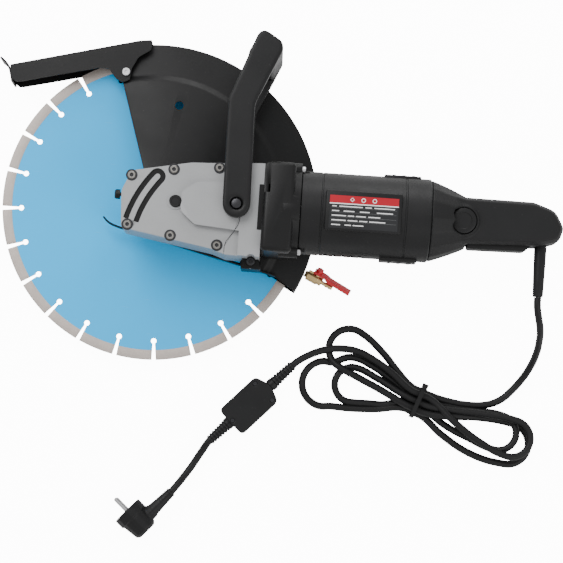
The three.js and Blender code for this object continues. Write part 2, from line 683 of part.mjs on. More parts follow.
function buildMotor() {
  const m = motorFrontBearing;
  const r = rearBearing;
  addNode("motor_collar", motorCollar(), "blackPaint");
  addNode("motor_housing", motorHousing(), "blackPlastic");
  collarScrews.forEach(([y, z], i) => {
    const screw = turned(
      [[0, collarEnd - 18], [2, collarEnd - 18], [2, collarEnd + gap], [4.4, collarEnd + gap], [4.4,
        collarEnd + 2.6],
        [3, collarEnd + 3.8], [0, collarEnd + 3.8]],
      { axis: "x", at: [0, y, z], segments: 16 },
    );
    addNode(`collar_screw_${i + 1}`, screw, "steel");
  });
  addNode("motor_bearing_front", ring(m.inner + bearingPlay, m.outer, m.x0 + gap, m.x1, motorAxisAt),
    "steel");
  addNode("motor_bearing_rear", ring(r.inner + bearingPlay, r.outer, r.x0, r.x1, motorAxisAt), "steel");
  const bore = armatureRadius + airGap;
  addNode("stator", ring(bore, housingInner - 0.4, statorStart, statorStart + statorLength,
    { ...motorAxisAt, segments: 20 }), "steel");
  [1, -1].forEach((side, i) => {
    const reach = [commutator.radius + 0.4, housingInner - 1.2].map((d) => motorZ + side * d).sort((a,
      b) => a - b);
    addNode(`carbon_brush_${i + 1}`, box(271, 281, motorY - 4, motorY + 4, ...reach), "carbon");
  });
}

// ---- Rear grip ------------------------------------------------------------------------------------------
const gripCorners = [[335, -29, 4], [reliefX - 6, -25, 6], [463, -19, 10], [467.5, -3, 8], [457, 16,
  16], [432, 24.5, 14],
  [356, 25, 10], [335, 30, 4]];
const triggerX = [360, 430];
const lockPlace = [353.3, motorY];
const gripTop = motorZ + gripDepth / 2;

function gripSolid(offset) {
  const geometry = new THREE.ExtrudeGeometry(rounded(inset(gripCorners, offset + 4)), {
    depth: gripDepth - 2 * offset - 16,
    bevelThickness: 8,
    bevelSize: 4,
    bevelSegments: 1,
    curveSegments: 2,
  });
  const bar = solid(geometry.translate(0, 0, motorZ - gripDepth / 2 + offset + 8));
  const dome = turned(
    [[0, housingEnd + gap + offset], [housingOuter - 0.4 - offset, housingEnd + gap + offset],
      [43.5 - offset, 326], [37.5 - offset, 341], [31 - offset, 355 - offset], [22 - offset, 370 - offset],
      [0, 376 - offset]],
    motorAxisAt,
  );
  return join(bar, dome);
}

function gripShells() {
  const [x0, x1] = triggerX;
  const lock = { at: [...lockPlace, 0], segments: 20 };
  const shell = cut(
    join(gripSolid(0), rod(lockButtonRadius + 3.5, motorZ, gripTop + 3, lock)),
    cut(gripSolid(gripWall), ring(lockButtonRadius + 0.4, lockButtonRadius + 3.4, motorZ + 5,
      gripTop + 3, lock)),
    rod(lockButtonRadius + 0.4, gripTop - 12, gripTop + 10, lock),
    box(x0 - triggerSwing, x1 + 0.6, -60, -15, motorZ - triggerWidth / 2 - 0.6,
      motorZ + triggerWidth / 2 + 0.6),
    rod(7.3, -40, -15, { axis: "y", at: [reliefX, 0, motorZ], segments: 20 }),
    rod(9.4, -22.4, -19, { axis: "y", at: [reliefX, 0, motorZ], segments: 20 }),
  );
  const near = shell.intersect(box(300, 500, -100, 100, motorZ + gap / 2, 200));
  const far = shell.intersect(box(300, 500, -100, 100, 0, motorZ - gap / 2));
  return [near, far];
}

function buildGrip() {
  const [near, far] = gripShells();
  const [x0, x1] = triggerX;
  const pinPlace = [x1 - 4, -17, 0];
  const inside = gripDepth / 2 - gripWall;
  addNode("grip_shell_near", near, "blackPlastic");
  addNode("grip_shell_far", join(far, rod(2, motorZ - inside - 1, motorZ + triggerWidth / 2 + 4,
    { at: pinPlace, segments: 12 })),
    "blackPlastic");
  const paddle = rounded([[x0, -32.5, 3], [x1 - 6, -31.5, 4], [x1, -27, 3], [x1, -13.5, 2], [x1 - 8,
    -13.5, 3],
    [x1 - 9, -20, 3], [x0, -22, 2]]);
  const body = prism(paddle, motorZ - triggerWidth / 2, motorZ + triggerWidth / 2);
  addNode("trigger", cut(body, rod(2.3, 0, 200, { at: pinPlace, segments: 12 })), "rubber");
  addNode("power_switch", box(374, 410, -11, 15, motorZ - inside + 0.6, motorZ + inside - 0.6),
    "blackPlastic");
  const button = turned(
    [[0, gripTop - 9], [lockButtonRadius, gripTop - 9], [lockButtonRadius, gripTop + 3.4],
      [lockButtonRadius - 1.2, gripTop + 4.4], [0, gripTop + 4.4]],
    { at: [...lockPlace, 0], segments: 20 },
  );
  addNode("lock_button", button, "blackPlastic");
  const relief = turned(
    [[0, reliefEnd], [5.2, reliefEnd], [6.4, -28], [6.9, -27], [6.9, -22], [9, -22], [9, -19.4], [0,
      -19.4]],
    { axis: "y", at: [reliefX, 0, motorZ], segments: 16 },
  );
  addNode("strain_relief", relief, "rubber");
}

// ---- Bail handle ----------------------------------------------------------------------------------------
function bailHandle() {
  const left = bailX - bailLobe + 0.6;
  const right = bailX + bailLobe;
  const leg = new THREE.Shape();
  leg.absarc(bailX, motorY, bailLobe, Math.PI, turn, false);
  leg.lineTo(right - 2, 104);
  leg.quadraticCurveTo(right - 2, 113, right + 1.5, 119);
  leg.lineTo(137.5, 171);
  leg.quadraticCurveTo(140.5, 181, 133, 185.5);
  leg.lineTo(120, 193.5);
  leg.quadraticCurveTo(112.5, 196, 108.5, 188.5);
  leg.lineTo(left + 0.4, 120);
  leg.quadraticCurveTo(left - 2, 116, left - 1.5, 108);
  leg.closePath();
  const grip = rounded([[98, 165, 6], [127, 151.5, 6], [139.5, 175, 8], [135.5, 184.2, 7], [113.5, 196,
    8]]);
  const head = { radius: boltHeadRadius + 1.6, depth: 6 };
  const at = { at: [bailX, motorY, 0] };
  return cut(
    join(
      prism(leg, bailNearZ, bailNearTop, 5),
      prism(leg, bailFarZ, bailFarZ + bailThickness, 5),
      prism(grip, bailFarZ + 1, bailNearTop - 1),
    ),
    rod(boltRadius + 0.4, 0, 200, at),
    rod(head.radius, bailNearTop - head.depth, bailNearTop + 1, at),
    rod(head.radius, bailFarZ - 1, bailFarZ + head.depth, at),
  );
}

function buildBail() {
  addNode("bail_handle", bailHandle(), "blackPlastic");
  const head = { radius: boltHeadRadius, height: 5 };
  const seat = bailNearTop - 6 + gap;
  addNode("bail_bolt_near", capScrew(bailX, motorY, seat, head, boltRadius, seat - bulgeTop + 11),
    "blackOxide");
  const farSeat = bailFarZ + 6 - gap;
  const far = turned(
    [[0, farSeat - 5], [boltHeadRadius, farSeat - 5], [boltHeadRadius, farSeat], [boltRadius, farSeat],
      [boltRadius, caseBottom + 9], [0, caseBottom + 9]],
    { at: [bailX, motorY, 0], segments: 16 },
  );
  addNode("bail_bolt_far", far, "blackOxide");
}

// ---- Guard ----------------------------------------------------------------------------------------------
// The lower edge of the guard runs straight under the gear case, falling away to the rear.
const edgeY = (x) => -34.6 - 0.241 * (x + 13.5);
const nosePivot = [-42.7, 154];
const valveAngle = -26;
const valveTilt = 35;
const valveZ = 19;
const valveRoot = [
  (guardRadius + 0.4) * Math.cos(rad(-19.6)),
  (guardRadius + 0.4) * Math.sin(rad(-19.6)),
  valveZ,
];

function guardOutline() {
  const shape = new THREE.Shape();
  shape.absarc(0, 0, guardRadius, rad(guardRearAngle), rad(guardFrontAngle), false);
  shape.lineTo(-11, 44);
  shape.absarc(0, 0, collarRadius, rad(110), rad(215), false);
  shape.lineTo(-26, edgeY(-26));
  shape.lineTo(146, edgeY(146));
  shape.closePath();
  return shape;
}

function guardShell() {
  const t = guardSheet;
  const outline = guardOutline();
  const [px, py] = nosePivot;
  const band = prism(outline, guardHeight - t, guardHeight, 10);
  const raised = prism(outline, guardHeight - t, plateauTop, 10).intersect(rod(plateauRadius, 0, 100,
    { segments: 32 }));
  const under = rod(plateauRadius - t, 0, plateauTop - t, { segments: 32 });
  const rim = prism(sector(guardRadius - t, guardRadius, guardRearAngle, guardFrontAngle), t + gap,
    guardHeight, 10);
  const lip = new THREE.SplineCurve([[-57.7, -17.2], [-53, -22], [-46, -26], [-26, edgeY(-26)]].map(
    ([x, y]) => new THREE.Vector2(x, y)));
  const straight = new THREE.LineCurve(new THREE.Vector2(-27, edgeY(-27)), new THREE.Vector2(146,
    edgeY(146)));
  const flange = join(
    prism(ribbon(lip, t, 6, false), guardHeight + 0.5, edgeFlangeTop),
    prism(ribbon(straight, t, 1, false), guardHeight - t, edgeFlangeTop),
  );
  const windowCorners = [[30, -28], [104, -28], [104, edgeY(104) + 3.2], [30, edgeY(30) + 3.2]];
  const window = prism(new THREE.Shape(windowCorners.map(([x, y]) => new THREE.Vector2(x, y))), 0, 80);
  return cut(
    join(cut(band, rod(plateauRadius - t, 0, 100, { segments: 32 })), cut(raised, under), rim, flange,
      ring(noseRadius + 1, collarRadius, plateauTop - 1, caseBottom - 1, { segments: 20 })),
    rod(noseRadius + 0.5, 0, 100, { segments: 20 }),
    window,
    rod(guardHoleRadius, 0, 100, { at: [21.5, 119.1, 0], segments: 16 }),
    rod(2.8, 0, 100, { at: [px, py, 0], segments: 12 }),
  );
}

function noseGuard() {
  const corners = [
    [-178, 154, 1], [-174, 132.5, 9], [-90, 153, 6], [-74, 157, 6], [-63, 156.5, 5], [-54, 145.5, 4],
    [-46, 141.5, 5], [-38.2, 145, 4], [-36.8, 158, 8], [-30, 172, 10], [-15.5, 182, 3], [-15, 193.8, 2],
    [-30, 192, 0], [-75, 180.4, 0],
  ];
  const [px, py] = nosePivot;
  const t = 2.2;
  const top = plateauTop + gap + t;
  const floor = guardSheet + 0.6;
  const shape = rounded(corners);
  const hollow = solid(
    new THREE.ExtrudeGeometry(shape, { depth: top - t - (floor + guardSheet), bevelEnabled: false,
      curveSegments: 3 })
      .translate(0.25 * t, -0.97 * t, floor + guardSheet),
  );
  const insideRim = cut(
    box(-62, 40, 60, 220, 0, plateauTop + gap - 0.1).intersect(rod(guardRadius + noseClearance, 0, 100,
      { segments: 64 })),
    rod(19, 0, floor + guardSheet + 0.05, { at: [px, py, 0] }),
    box(-63, -50, 134, 168, 0, floor + guardSheet + 0.05),
  );
  const lipCurve = new THREE.SplineCurve([[-190, 162], [-184, 157.5], [-179, 150.5], [-176.6, 143],
    [-174.6, 134.5]].map(
    ([x, y]) => new THREE.Vector2(x, y)));
  return cut(
    join(cut(prism(shape, floor, top, 3), hollow), prism(ribbon(lipCurve, t, 6, false), floor, top)),
    insideRim,
    rod(3.2, 0, 100, { at: [px, py, 0], segments: 14 }),
  );
}

function buildGuard() {
  addNode("blade_guard", guardShell(), "blackPaint");
  const plate = join(
    prism(sector(farPlateInnerRadius, guardRadius, guardRearAngle, guardFrontAngle), 0, guardSheet, 10),
    rod(2.6, guardSheet - 0.5, guardSheet * 2 + 2.4, { at: [...nosePivot, 0], segments: 12 }),
  );
  addNode("guard_far_plate", plate, "blackPaint");
  addNode("nose_guard", noseGuard(), "blackPaint");
  const head = plateauTop + gap + 2.2 + gap;
  const screw = turned(
    [[0, guardHeight - 6], [2.5, guardHeight - 6], [2.5, head], [4.7, head], [4.7, head + 1.6], [3,
      head + 2.8],
      [0, head + 3]],
    { at: [...nosePivot, 0], segments: 20 },
  );
  addNode("nose_pivot_screw", screw, "steel");
}

// ---- Water valve on the guard's rear rim ----------------------------------------------------------------
const valveStemAt = 15;

function buildValve() {
  const valve = new THREE.Group();
  valve.position.set(...valveRoot);
  valve.rotation.set(rad(valveTilt), 0, rad(valveAngle), "ZYX");
  saw.add(valve);
  const body = join(
    turned([[0, 0.6], [4, 0.6], [4, 6], [5, 6], [5, 22], [4, 23], [0, 23]], { axis: "x", segments: 12 }),
    turned([[0, 22], [2.4, 22], [2.4, 28], [3.1, 28], [2.4, 32.5], [3.1, 32.5], [2.3, 37], [0, 37]],
      { axis: "x", segments: 10 }),
    rod(3.4, 0, 8, { axis: "y", at: [valveStemAt, 0, 0], segments: 12 }),
  );
  addNode("water_valve", cut(body, rod(1.9, 4.6, 9, { axis: "y", at: [valveStemAt, 0, 0],
    segments: 10 })), "brass", valve);
  const stem = join(
    rod(1.6, 4.9, 12, { axis: "y", at: [valveStemAt, 0, 0], segments: 10 }),
    rod(3.9, 10.6, 14, { axis: "y", at: [valveStemAt, 0, 0], sides: 6 }),
  );
  const side = new THREE.Shape();
  side.moveTo(valveStemAt - 5, 8.3);
  side.lineTo(valveStemAt + 8, 8.3);
  side.bezierCurveTo(valveStemAt + 12, 8.3, valveStemAt + 11, 5.6, valveStemAt + 15, 5.6);
  side.lineTo(valveStemAt + 42, 4.6);
  side.lineTo(valveStemAt + 42, 7.8);
  side.lineTo(valveStemAt + 16, 8.6);
  side.bezierCurveTo(valveStemAt + 12, 8.6, valveStemAt + 13, 10.3, valveStemAt + 8, 10.3);
  side.lineTo(valveStemAt - 5, 10.3);
  side.closePath();
  const lever = join(prism(side, -4, 4), stem);
  addNode("valve_lever", lever, "redDip", valve);
}

// ---- Mains cord, hank, residual-current box and plug ----------------------------------------------------
const tube = (points, diameter, steps) => {
  const section = new THREE.Shape();
  const sides = 8;
  for (let i = 0; i < sides; i++) {
    const a = (turn * i) / sides;
    const [x, y] = [(diameter / 2) * Math.cos(a), (diameter / 2) * Math.sin(a)];
    if (i) section.lineTo(x, y);
    else section.moveTo(x, y);
  }
  const route = new THREE.CatmullRomCurve3(points.map((p) => new THREE.Vector3(...p)));
  return solid(new THREE.ExtrudeGeometry(section, { steps, extrudePath: route }));
};

// From the strain relief down to the floor and round to the hank.
const leadPoints = [
  [reliefX, reliefEnd - 0.5, motorZ], [444.4, -92, 94.4], [447.5, -104, 87], [451.5, -116, 73.5],
  [453.3, -129, 55], [452.5, -143, 35.5], [448.5, -156.5, 19.5], [441, -170.5, 9.3], [430.5, -184, 5.4],
  [417.5, -196.3, floorZ + 0.4], [401.5, -204.9, floorZ + 0.4],
];
// From the hank across to the residual-current box.
const outPoints = [[207, -152.8, 13.5], [198, -156.2, 14], [189, -160.6, 14.2], [181, -165.6, 14.1],
  [175, -170.4, 14], [171.8, -173.6, 14]];
// From the residual-current box to the plug.
const plugLeadPoints = [[83.7, -264.8, 14], [80.6, -268.4, 13.4], [76.2, -275.6, 11], [70, -286, 8.6],
  [63, -298, 8.2], [55.5, -309.5, 11.6],
  [48.5, -319.8, 16.6], [41.8, -328.7, 18.9]];

const boxPlace = { at: [126, -222], angle: 46.6, bottom: 0.2, split: 13, top: 28 };
const glandZ = 14;
const glands = { saw: { wall: 34, tip: 66, y: 0 }, plug: { wall: -30, tip: -59.3, y: 1.3 } };
const plugTurn = 138.5;
const plugFace = [-7.1, -352.2, 18.9];
const tiePlace = { at: [321, -205], angle: -20.7, halfWidth: 19.5, thickness: 1.3, top: 23.5 };

function hankOutline() {
  const shape = new THREE.Shape();
  const run = (points) => shape.splineThru(points.map(([x, y]) => new THREE.Vector2(x, y)));
  shape.moveTo(324, -188.5);
  run([[308, -177], [294, -163], [276, -141], [257, -126], [237, -119.5], [217, -122], [207, -133],
    [205.4, -147.6]]);
  shape.lineTo(209.6, -157.2);
  run([[190, -170], [179, -184], [180, -203], [196, -217], [230, -222.5], [280, -222.5], [310.3, -221.5]]);
  shape.lineTo(317.8, -224.4);
  run([[345, -247], [374, -265], [405, -274], [436, -274], [453, -262], [457, -243], [447, -227], [425,
    -219],
    [403.2, -209.9]]);
  shape.lineTo(398.3, -200.7);
  run([[370, -200], [348, -196], [331.4, -191.2]]);
  shape.closePath();
  return shape;
}

function buildCord() {
  addNode("mains_lead", tube(leadPoints, cordDiameter, 18), "rubber");
  const tie = tiePlace;
  const place = new THREE.Group();
  place.position.set(...tie.at, 0);
  place.rotation.z = rad(tie.angle);
  saw.add(place);
  const strap = cut(
    box(-2.4, 2.4, -tie.halfWidth, tie.halfWidth, 0.05, tie.top),
    box(-4, 4, -tie.halfWidth + tie.thickness, tie.halfWidth - tie.thickness, 0.05 + tie.thickness,
      tie.top - tie.thickness),
  );
  const head = box(-3.5, 3.5, tie.halfWidth - 4, tie.halfWidth + 2.5, tie.top - tie.thickness - 0.02,
    tie.top + 3.2);
  addNode("cable_tie", join(strap, head), "blackPlastic", place);
  const waist = new THREE.BoxGeometry(12, 60, 60).rotateZ(rad(tie.angle)).translate(...tie.at, 20);
  const waistKeep = new THREE.BoxGeometry(14, 2 * (tie.halfWidth - tie.thickness - gap), 60)
    .rotateZ(rad(tie.angle)).translate(...tie.at, 20);
  const hank = prism(hankOutline(), 1.7, 21.5, 3);
  addNode("lead_hank", cut(hank, cut(solid(waist), solid(waistKeep))), "rubber");
  addNode("box_lead", tube(outPoints, cordDiameter, 5), "rubber");
  addNode("plug_lead", tube(plugLeadPoints, cordDiameter, 7), "rubber");
  buildBox();
  buildPlug();
}

function buildBox() {
  const group = new THREE.Group();
  group.position.set(...boxPlace.at, 0);
  group.rotation.z = rad(boxPlace.angle);
  saw.add(group);
  const { bottom, split, top } = boxPlace;
  const outline = rounded([[-30, -19.5, 6], [27, -19.5, 7], [34, 0, 20], [27, 19.5, 7], [-30, 19.5, 6]]);
  const screws = [[21.5, 13.5], [23, -14], [-26.5, 0]];
  const gland = ({ wall, tip, y }, grow = 0) => {
    const side = Math.sign(tip);
    const profile = [[0, wall - side * 4], [6.4 + grow, wall - side * 4], [6.4 + grow, wall + side * 3],
      [5.6 + grow, wall + side * 4], [4.7 + grow, tip], [0, tip]];
    return turned(profile, { axis: "x", at: [0, y, glandZ], segments: 12 });
  };
  const base = cut(
    prism(outline, bottom, split),
    gland(glands.saw, gap),
    gland(glands.plug, gap),
    prism(rounded([[-27, -16.5, 4], [25, -16.5, 5], [31, 0, 16], [25, 16.5, 5], [-27, 16.5, 4]]),
      bottom + 3, split + 1),
  );
  addNode("rcd_base", base, "greyPlastic", group);
  const cover = cut(
    join(prism(outline, split + gap, top), gland(glands.saw), gland(glands.plug)),
    prism(rounded([[-25, -16.5, 4], [25, -16.5, 5], [29, 0, 16], [25, 16.5, 5], [-25, 16.5, 4]]),
      split - 8, top - 3),
    ...screws.map(([x, y]) => rod(2.7, top - 1.6, top + 1, { at: [x, y, 0], segments: 14 })),
  );
  addNode("rcd_cover", cover, "blackPlastic", group);
}

function buildPlug() {
  const group = new THREE.Group();
  group.position.set(...plugFace);
  group.rotation.z = rad(plugTurn);
  saw.add(group);
  const body = join(
    turned([[0, -12], [18.6, -12], [18.6, 0], [0, 0]], { axis: "x" }),
    turned([[0, -34], [11, -34], [14.5, -31], [17, -11], [0, -11]], { axis: "x" }),
    turned([[0, -49], [5.4, -49], [7.6, -22], [8.6, -20], [8.6, -5], [0, -5]], { axis: "y", at: [-21,
      0, 0], segments: 12 }),
  );
  addNode("plug_body", cut(body, ...[9.5, -9.5].map((z) =>
    rod(2.7, -8, 1, { axis: "x", at: [0, 0, z], segments: 12 }))), "rubber", group);
  [9.5, -9.5].forEach((z, i) => {
    const pin = turned([[0, -7.6], [2.4, -7.6], [2.4, 17.5], [1.4, 19], [0, 19]],
      { axis: "x", at: [0, 0, z], segments: 12 });
    addNode(`plug_pin_${i + 1}`, pin, "steel", group);
  });
}

buildCase();
buildSpindle();
buildLayshaft();
buildRotor();
buildMotor();
buildGrip();
buildBail();
buildGuard();
buildValve();
buildCord();

export default saw;
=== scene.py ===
"""Looks of a hand-held electric concrete cut-off saw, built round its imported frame.

Everything is in metres in the frame of the solids: the blade's spindle stands along +Z through the origin,
the motor runs along +X to the rear grip, and the carrying handle rises along +Y.
"""

import json
import logging
import math
from collections.abc import Iterator, Sequence
from contextlib import contextmanager
from dataclasses import dataclass, field
from enum import Enum

import bpy
from mathutils import Matrix, Vector


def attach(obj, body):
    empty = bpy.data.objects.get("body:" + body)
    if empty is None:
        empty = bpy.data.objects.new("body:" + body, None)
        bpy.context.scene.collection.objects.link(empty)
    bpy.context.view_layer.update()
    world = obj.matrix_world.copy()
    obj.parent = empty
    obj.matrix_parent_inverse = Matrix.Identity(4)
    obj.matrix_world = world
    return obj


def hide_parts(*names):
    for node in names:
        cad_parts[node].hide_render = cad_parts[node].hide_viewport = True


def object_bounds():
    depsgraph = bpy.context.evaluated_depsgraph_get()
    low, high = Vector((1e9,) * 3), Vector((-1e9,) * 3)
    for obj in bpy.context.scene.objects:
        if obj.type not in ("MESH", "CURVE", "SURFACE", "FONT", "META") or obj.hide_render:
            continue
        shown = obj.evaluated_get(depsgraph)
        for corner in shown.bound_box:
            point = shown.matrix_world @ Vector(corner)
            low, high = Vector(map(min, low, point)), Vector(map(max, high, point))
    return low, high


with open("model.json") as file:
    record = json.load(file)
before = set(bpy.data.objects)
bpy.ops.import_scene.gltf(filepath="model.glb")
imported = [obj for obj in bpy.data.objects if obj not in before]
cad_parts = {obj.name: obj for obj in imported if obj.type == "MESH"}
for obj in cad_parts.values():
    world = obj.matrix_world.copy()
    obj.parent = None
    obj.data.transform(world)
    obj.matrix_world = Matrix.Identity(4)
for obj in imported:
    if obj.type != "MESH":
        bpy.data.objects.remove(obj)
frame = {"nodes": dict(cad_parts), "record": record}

CAD_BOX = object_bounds()
LOG = logging.getLogger("cut_off_saw")
MM = 0.001

Colour = tuple[float, float, float]
Point = tuple[float, float, float]
Flat = tuple[float, float]


class Axis(Enum):
    """The three directions that a round piece may run along."""

    X = (1.0, 0.0, 0.0)
    Y = (0.0, 1.0, 0.0)
    Z = (0.0, 0.0, 1.0)


class Body(Enum):
    """The rigid bodies that pieces ride on."""

    FRAME = "frame"
    SPINDLE = "spindle"
    GUARD = "guard"
    NOSE = "nose"
    VALVE = "valve_lever"
    BAIL = "bail"
    TRIGGER = "trigger"
    LOCK_BUTTON = "lock_button"
    SPINDLE_LOCK = "spindle_lock"


# ---- Modelling tools ------------------------------------------------------------------------------------


def deselect() -> None:
    """Leaves nothing selected and object mode on."""
    if bpy.context.object and bpy.context.object.mode != "OBJECT":
        bpy.ops.object.mode_set(mode="OBJECT")
    bpy.ops.object.select_all(action="DESELECT")


def activate(piece: bpy.types.Object) -> None:
    """Selects one object alone and makes it active.

    Args:
        piece: the object to work on.
    """
    deselect()
    piece.select_set(True)
    bpy.context.view_layer.objects.active = piece


@contextmanager
def editing(piece: bpy.types.Object, mode: str = "VERT") -> Iterator[None]:
    """Opens an object in edit mode with all of it selected.

    Args:
        piece: the object to edit.
        mode: VERT, EDGE or FACE selection.
    """
    activate(piece)
    bpy.ops.object.mode_set(mode="EDIT")
    bpy.ops.mesh.select_mode(type=mode)
    bpy.ops.mesh.select_all(action="SELECT")
    yield
    bpy.ops.object.mode_set(mode="OBJECT")


def named(name: str) -> bpy.types.Object:
    """Names the active object, applies its place, and returns it.

    Args:
        name: the piece's name.

    Returns:
        The object, at the origin, with its place in its mesh.
    """
    piece = bpy.context.object
    piece.name = name
    piece.data.name = name
    bpy.ops.object.transform_apply(location=True, rotation=True, scale=True)
    return piece


def modify(piece: bpy.types.Object, kind: str, **settings: object) -> None:
    """Adds a modifier and applies it.

    Args:
        piece: the object to change.
        kind: the modifier's type.
        settings: its settings by name.
    """
    activate(piece)
    modifier = piece.modifiers.new(kind.lower(), kind)
    for key, value in settings.items():
        setattr(modifier, key, value)
    bpy.ops.object.modifier_apply(modifier=modifier.name)


def round_edges(piece: bpy.types.Object, width: float, segments: int = 2, angle: float = 32) -> None:
    """Bevels the sharp edges of a piece.

    Args:
        piece: the object to change.
        width: the bevel's width in metres.
        segments: steps across each bevel.
        angle: edges sharper than this many degrees are bevelled.
    """
    modify(piece, "BEVEL", width=width, segments=segments, limit_method="ANGLE",
            angle_limit=math.radians(angle),
           use_clamp_overlap=True, harden_normals=False)


def shade(piece: bpy.types.Object, angle: float = 35) -> None:
    """Shades a piece smooth except over edges sharper than an angle in degrees.

    Args:
        piece: the object to shade.
        angle: the sharpest edge that stays smooth.
    """
    activate(piece)
    bpy.ops.object.shade_smooth_by_angle(angle=math.radians(angle))


def merge(name: str, parts: Sequence[bpy.types.Object]) -> bpy.types.Object:
    """Joins several meshes into one object.

    Args:
        name: the name of the result.
        parts: the objects, the first of which keeps its data.

    Returns:
        The joined object.
    """
    deselect()
    for part in parts:
        part.select_set(True)
    bpy.context.view_layer.objects.active = parts[0]
    if len(parts) > 1:
        bpy.ops.object.join()
    return named(name)


def outward(piece: bpy.types.Object) -> None:
    """Merges doubled points and turns every face outwards.

    Args:
        piece: the object to mend.
    """
    with editing(piece):
        bpy.ops.mesh.remove_doubles(threshold=1e-6)
        bpy.ops.mesh.normals_make_consistent(inside=False)


def chain(name: str, points: Sequence[Point], closed: bool = False) -> bpy.types.Object:
    """Draws a line of points by extruding one point along it.

    Args:
        name: the object's name.
        points: the line's points in metres.
        closed: whether the last point joins the first.

    Returns:
        The object, a line of edges.
    """
    deselect()
    bpy.ops.mesh.primitive_plane_add(size=0.001, location=points[0])
    line = named(name)
    with editing(line):
        bpy.ops.mesh.merge(type="CENTER")
        bpy.ops.mesh.select_all(action="SELECT")
        for a, b in zip(points, points[1:]):
            step = Vector(b) - Vector(a)
            bpy.ops.mesh.extrude_region_move(TRANSFORM_OT_translate={"value": step})
        if closed:
            bpy.ops.mesh.select_all(action="SELECT")
            bpy.ops.mesh.edge_face_add()
    return line


def slab(name: str, outline: Sequence[Flat], low: float, high: float) -> bpy.types.Object:
    """A flat plate of any outline, standing from one height to another.

    Args:
        name: the object's name.
        outline: its corners, seen from above.
        low: the height of its underside.
        high: the height of its top.

    Returns:
        The plate.
    """
    plate = chain(name, [(x, y, low) for x, y in outline], closed=True)
    with editing(plate, "FACE"):
        bpy.ops.mesh.extrude_region_move(TRANSFORM_OT_translate={"value": (0, 0, high - low)})
        bpy.ops.mesh.select_all(action="SELECT")
        bpy.ops.mesh.normals_make_consistent(inside=False)
    return plate


def lathe(name: str, profile: Sequence[Flat], centre: Point, axis: Axis, steps: int = 64) -> bpy.types.Object:
    """A round piece, made by spinning a profile.

    Args:
        name: the object's name.
        profile: pairs of radius and distance along the axis, in metres.
        centre: the point on the axis that distances count from.
        axis: the axis it is spun about.
        steps: how many faces go round.

    Returns:
        The turned piece.
    """
    along = Vector(axis.value)
    side = Vector((0, 0, 1)) if axis is not Axis.Z else Vector((1, 0, 0))
    points = [tuple(Vector(centre) + side * r + along * h) for r, h in profile]
    piece = chain(name, points)
    with editing(piece):
        bpy.ops.mesh.spin(steps=steps, angle=math.tau, center=centre, axis=axis.value)
    outward(piece)
    return piece


def bar(name: str, low: Point, high: Point) -> bpy.types.Object:
    """A block between two corners, to be cut or bevelled.

    Args:
        name: the object's name.
        low: its lowest corner.
        high: its highest corner.

    Returns:
        The block.
    """
    deselect()
    middle = (Vector(low) + Vector(high)) / 2
    bpy.ops.mesh.primitive_cube_add(size=1, location=middle, scale=Vector(high) - Vector(low))
    return named(name)


def drum(name: str, radius: float, low: float, high: float, centre: Point, axis: Axis = Axis.Z,
         sides: int = 32) -> bpy.types.Object:
    """A round bar between two distances along an axis.

    Args:
        name: the object's name.
        radius: its radius.
        low: where it starts along the axis.
        high: where it ends.
        centre: the point on the axis that distances count from.
        axis: the axis it runs along.
        sides: how many faces go round.

    Returns:
        The bar.
    """
    deselect()
    turns = {Axis.X: (0, math.pi / 2, 0), Axis.Y: (-math.pi / 2, 0, 0), Axis.Z: (0, 0, 0)}
    middle = Vector(centre) + Vector(axis.value) * (low + high) / 2
    bpy.ops.mesh.primitive_cylinder_add(vertices=sides, radius=radius, depth=high - low, location=middle,
                                        rotation=turns[axis])
    return named(name)


def copies(piece: bpy.types.Object, moves: Sequence[Matrix]) -> list[bpy.types.Object]:
    """Copies a piece to several places, each copy with its own mesh.

    Args:
        piece: the piece to repeat, which stays where it is.
        moves: the matrix of each copy.

    Returns:
        The copies.
    """
    made = []
    for move in moves:
        mesh = piece.data.copy()
        mesh.transform(move)
        twin = bpy.data.objects.new(piece.name + "_copy", mesh)
        bpy.context.collection.objects.link(twin)
        made.append(twin)
    return made


def discard(*pieces: bpy.types.Object) -> None:
    """Removes construction objects and their meshes."""
    for piece in pieces:
        mesh = piece.data
        bpy.data.objects.remove(piece)
        bpy.data.meshes.remove(mesh)


def carve(piece: bpy.types.Object, tools: Sequence[bpy.types.Object], operation: str = "DIFFERENCE") -> None:
    """Cuts, joins or trims a piece by others, and throws the others away.

    Args:
        piece: the object to change.
        tools: the closed meshes that cut it.
        operation: DIFFERENCE, UNION or INTERSECT.
    """
    for tool in tools:
        modify(piece, "BOOLEAN", object=tool, operation=operation, solver="EXACT")
    discard(*tools)


def twin_of(node: str, name: str) -> bpy.types.Object:
    """A copy of a solid of the frame, with its loose triangles merged and its flat faces made whole.

    Args:
        node: the solid's name.
        name: the copy's name.

    Returns:
        The copy, which stands for the solid.
    """
    twin = bpy.data.objects.new(name, frame["nodes"][node].data.copy())
    twin.data.materials.clear()
    bpy.context.collection.objects.link(twin)
    with editing(twin):
        bpy.ops.mesh.remove_doubles(threshold=2e-6)
        bpy.ops.mesh.dissolve_limited(angle_limit=math.radians(1))
    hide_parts(node)
    return twin


def softened(node: str, name: str, voxel: float, passes: int) -> bpy.types.Object:
    """A copy of a solid with moulded, rounded edges all over.

    Args:
        node: the solid's name.
        name: the copy's name.
        voxel: the size of the new mesh's faces.
        passes: how many times the mesh is relaxed.

    Returns:
        The copy, which stands for the solid.
    """
    piece = twin_of(node, name)
    modify(piece, "REMESH", mode="VOXEL", voxel_size=voxel, use_smooth_shade=True)
    modify(piece, "SMOOTH", factor=0.5, iterations=passes)
    shade(piece, 60)
    return piece


# ---- Finishes -------------------------------------------------------------------------------------------


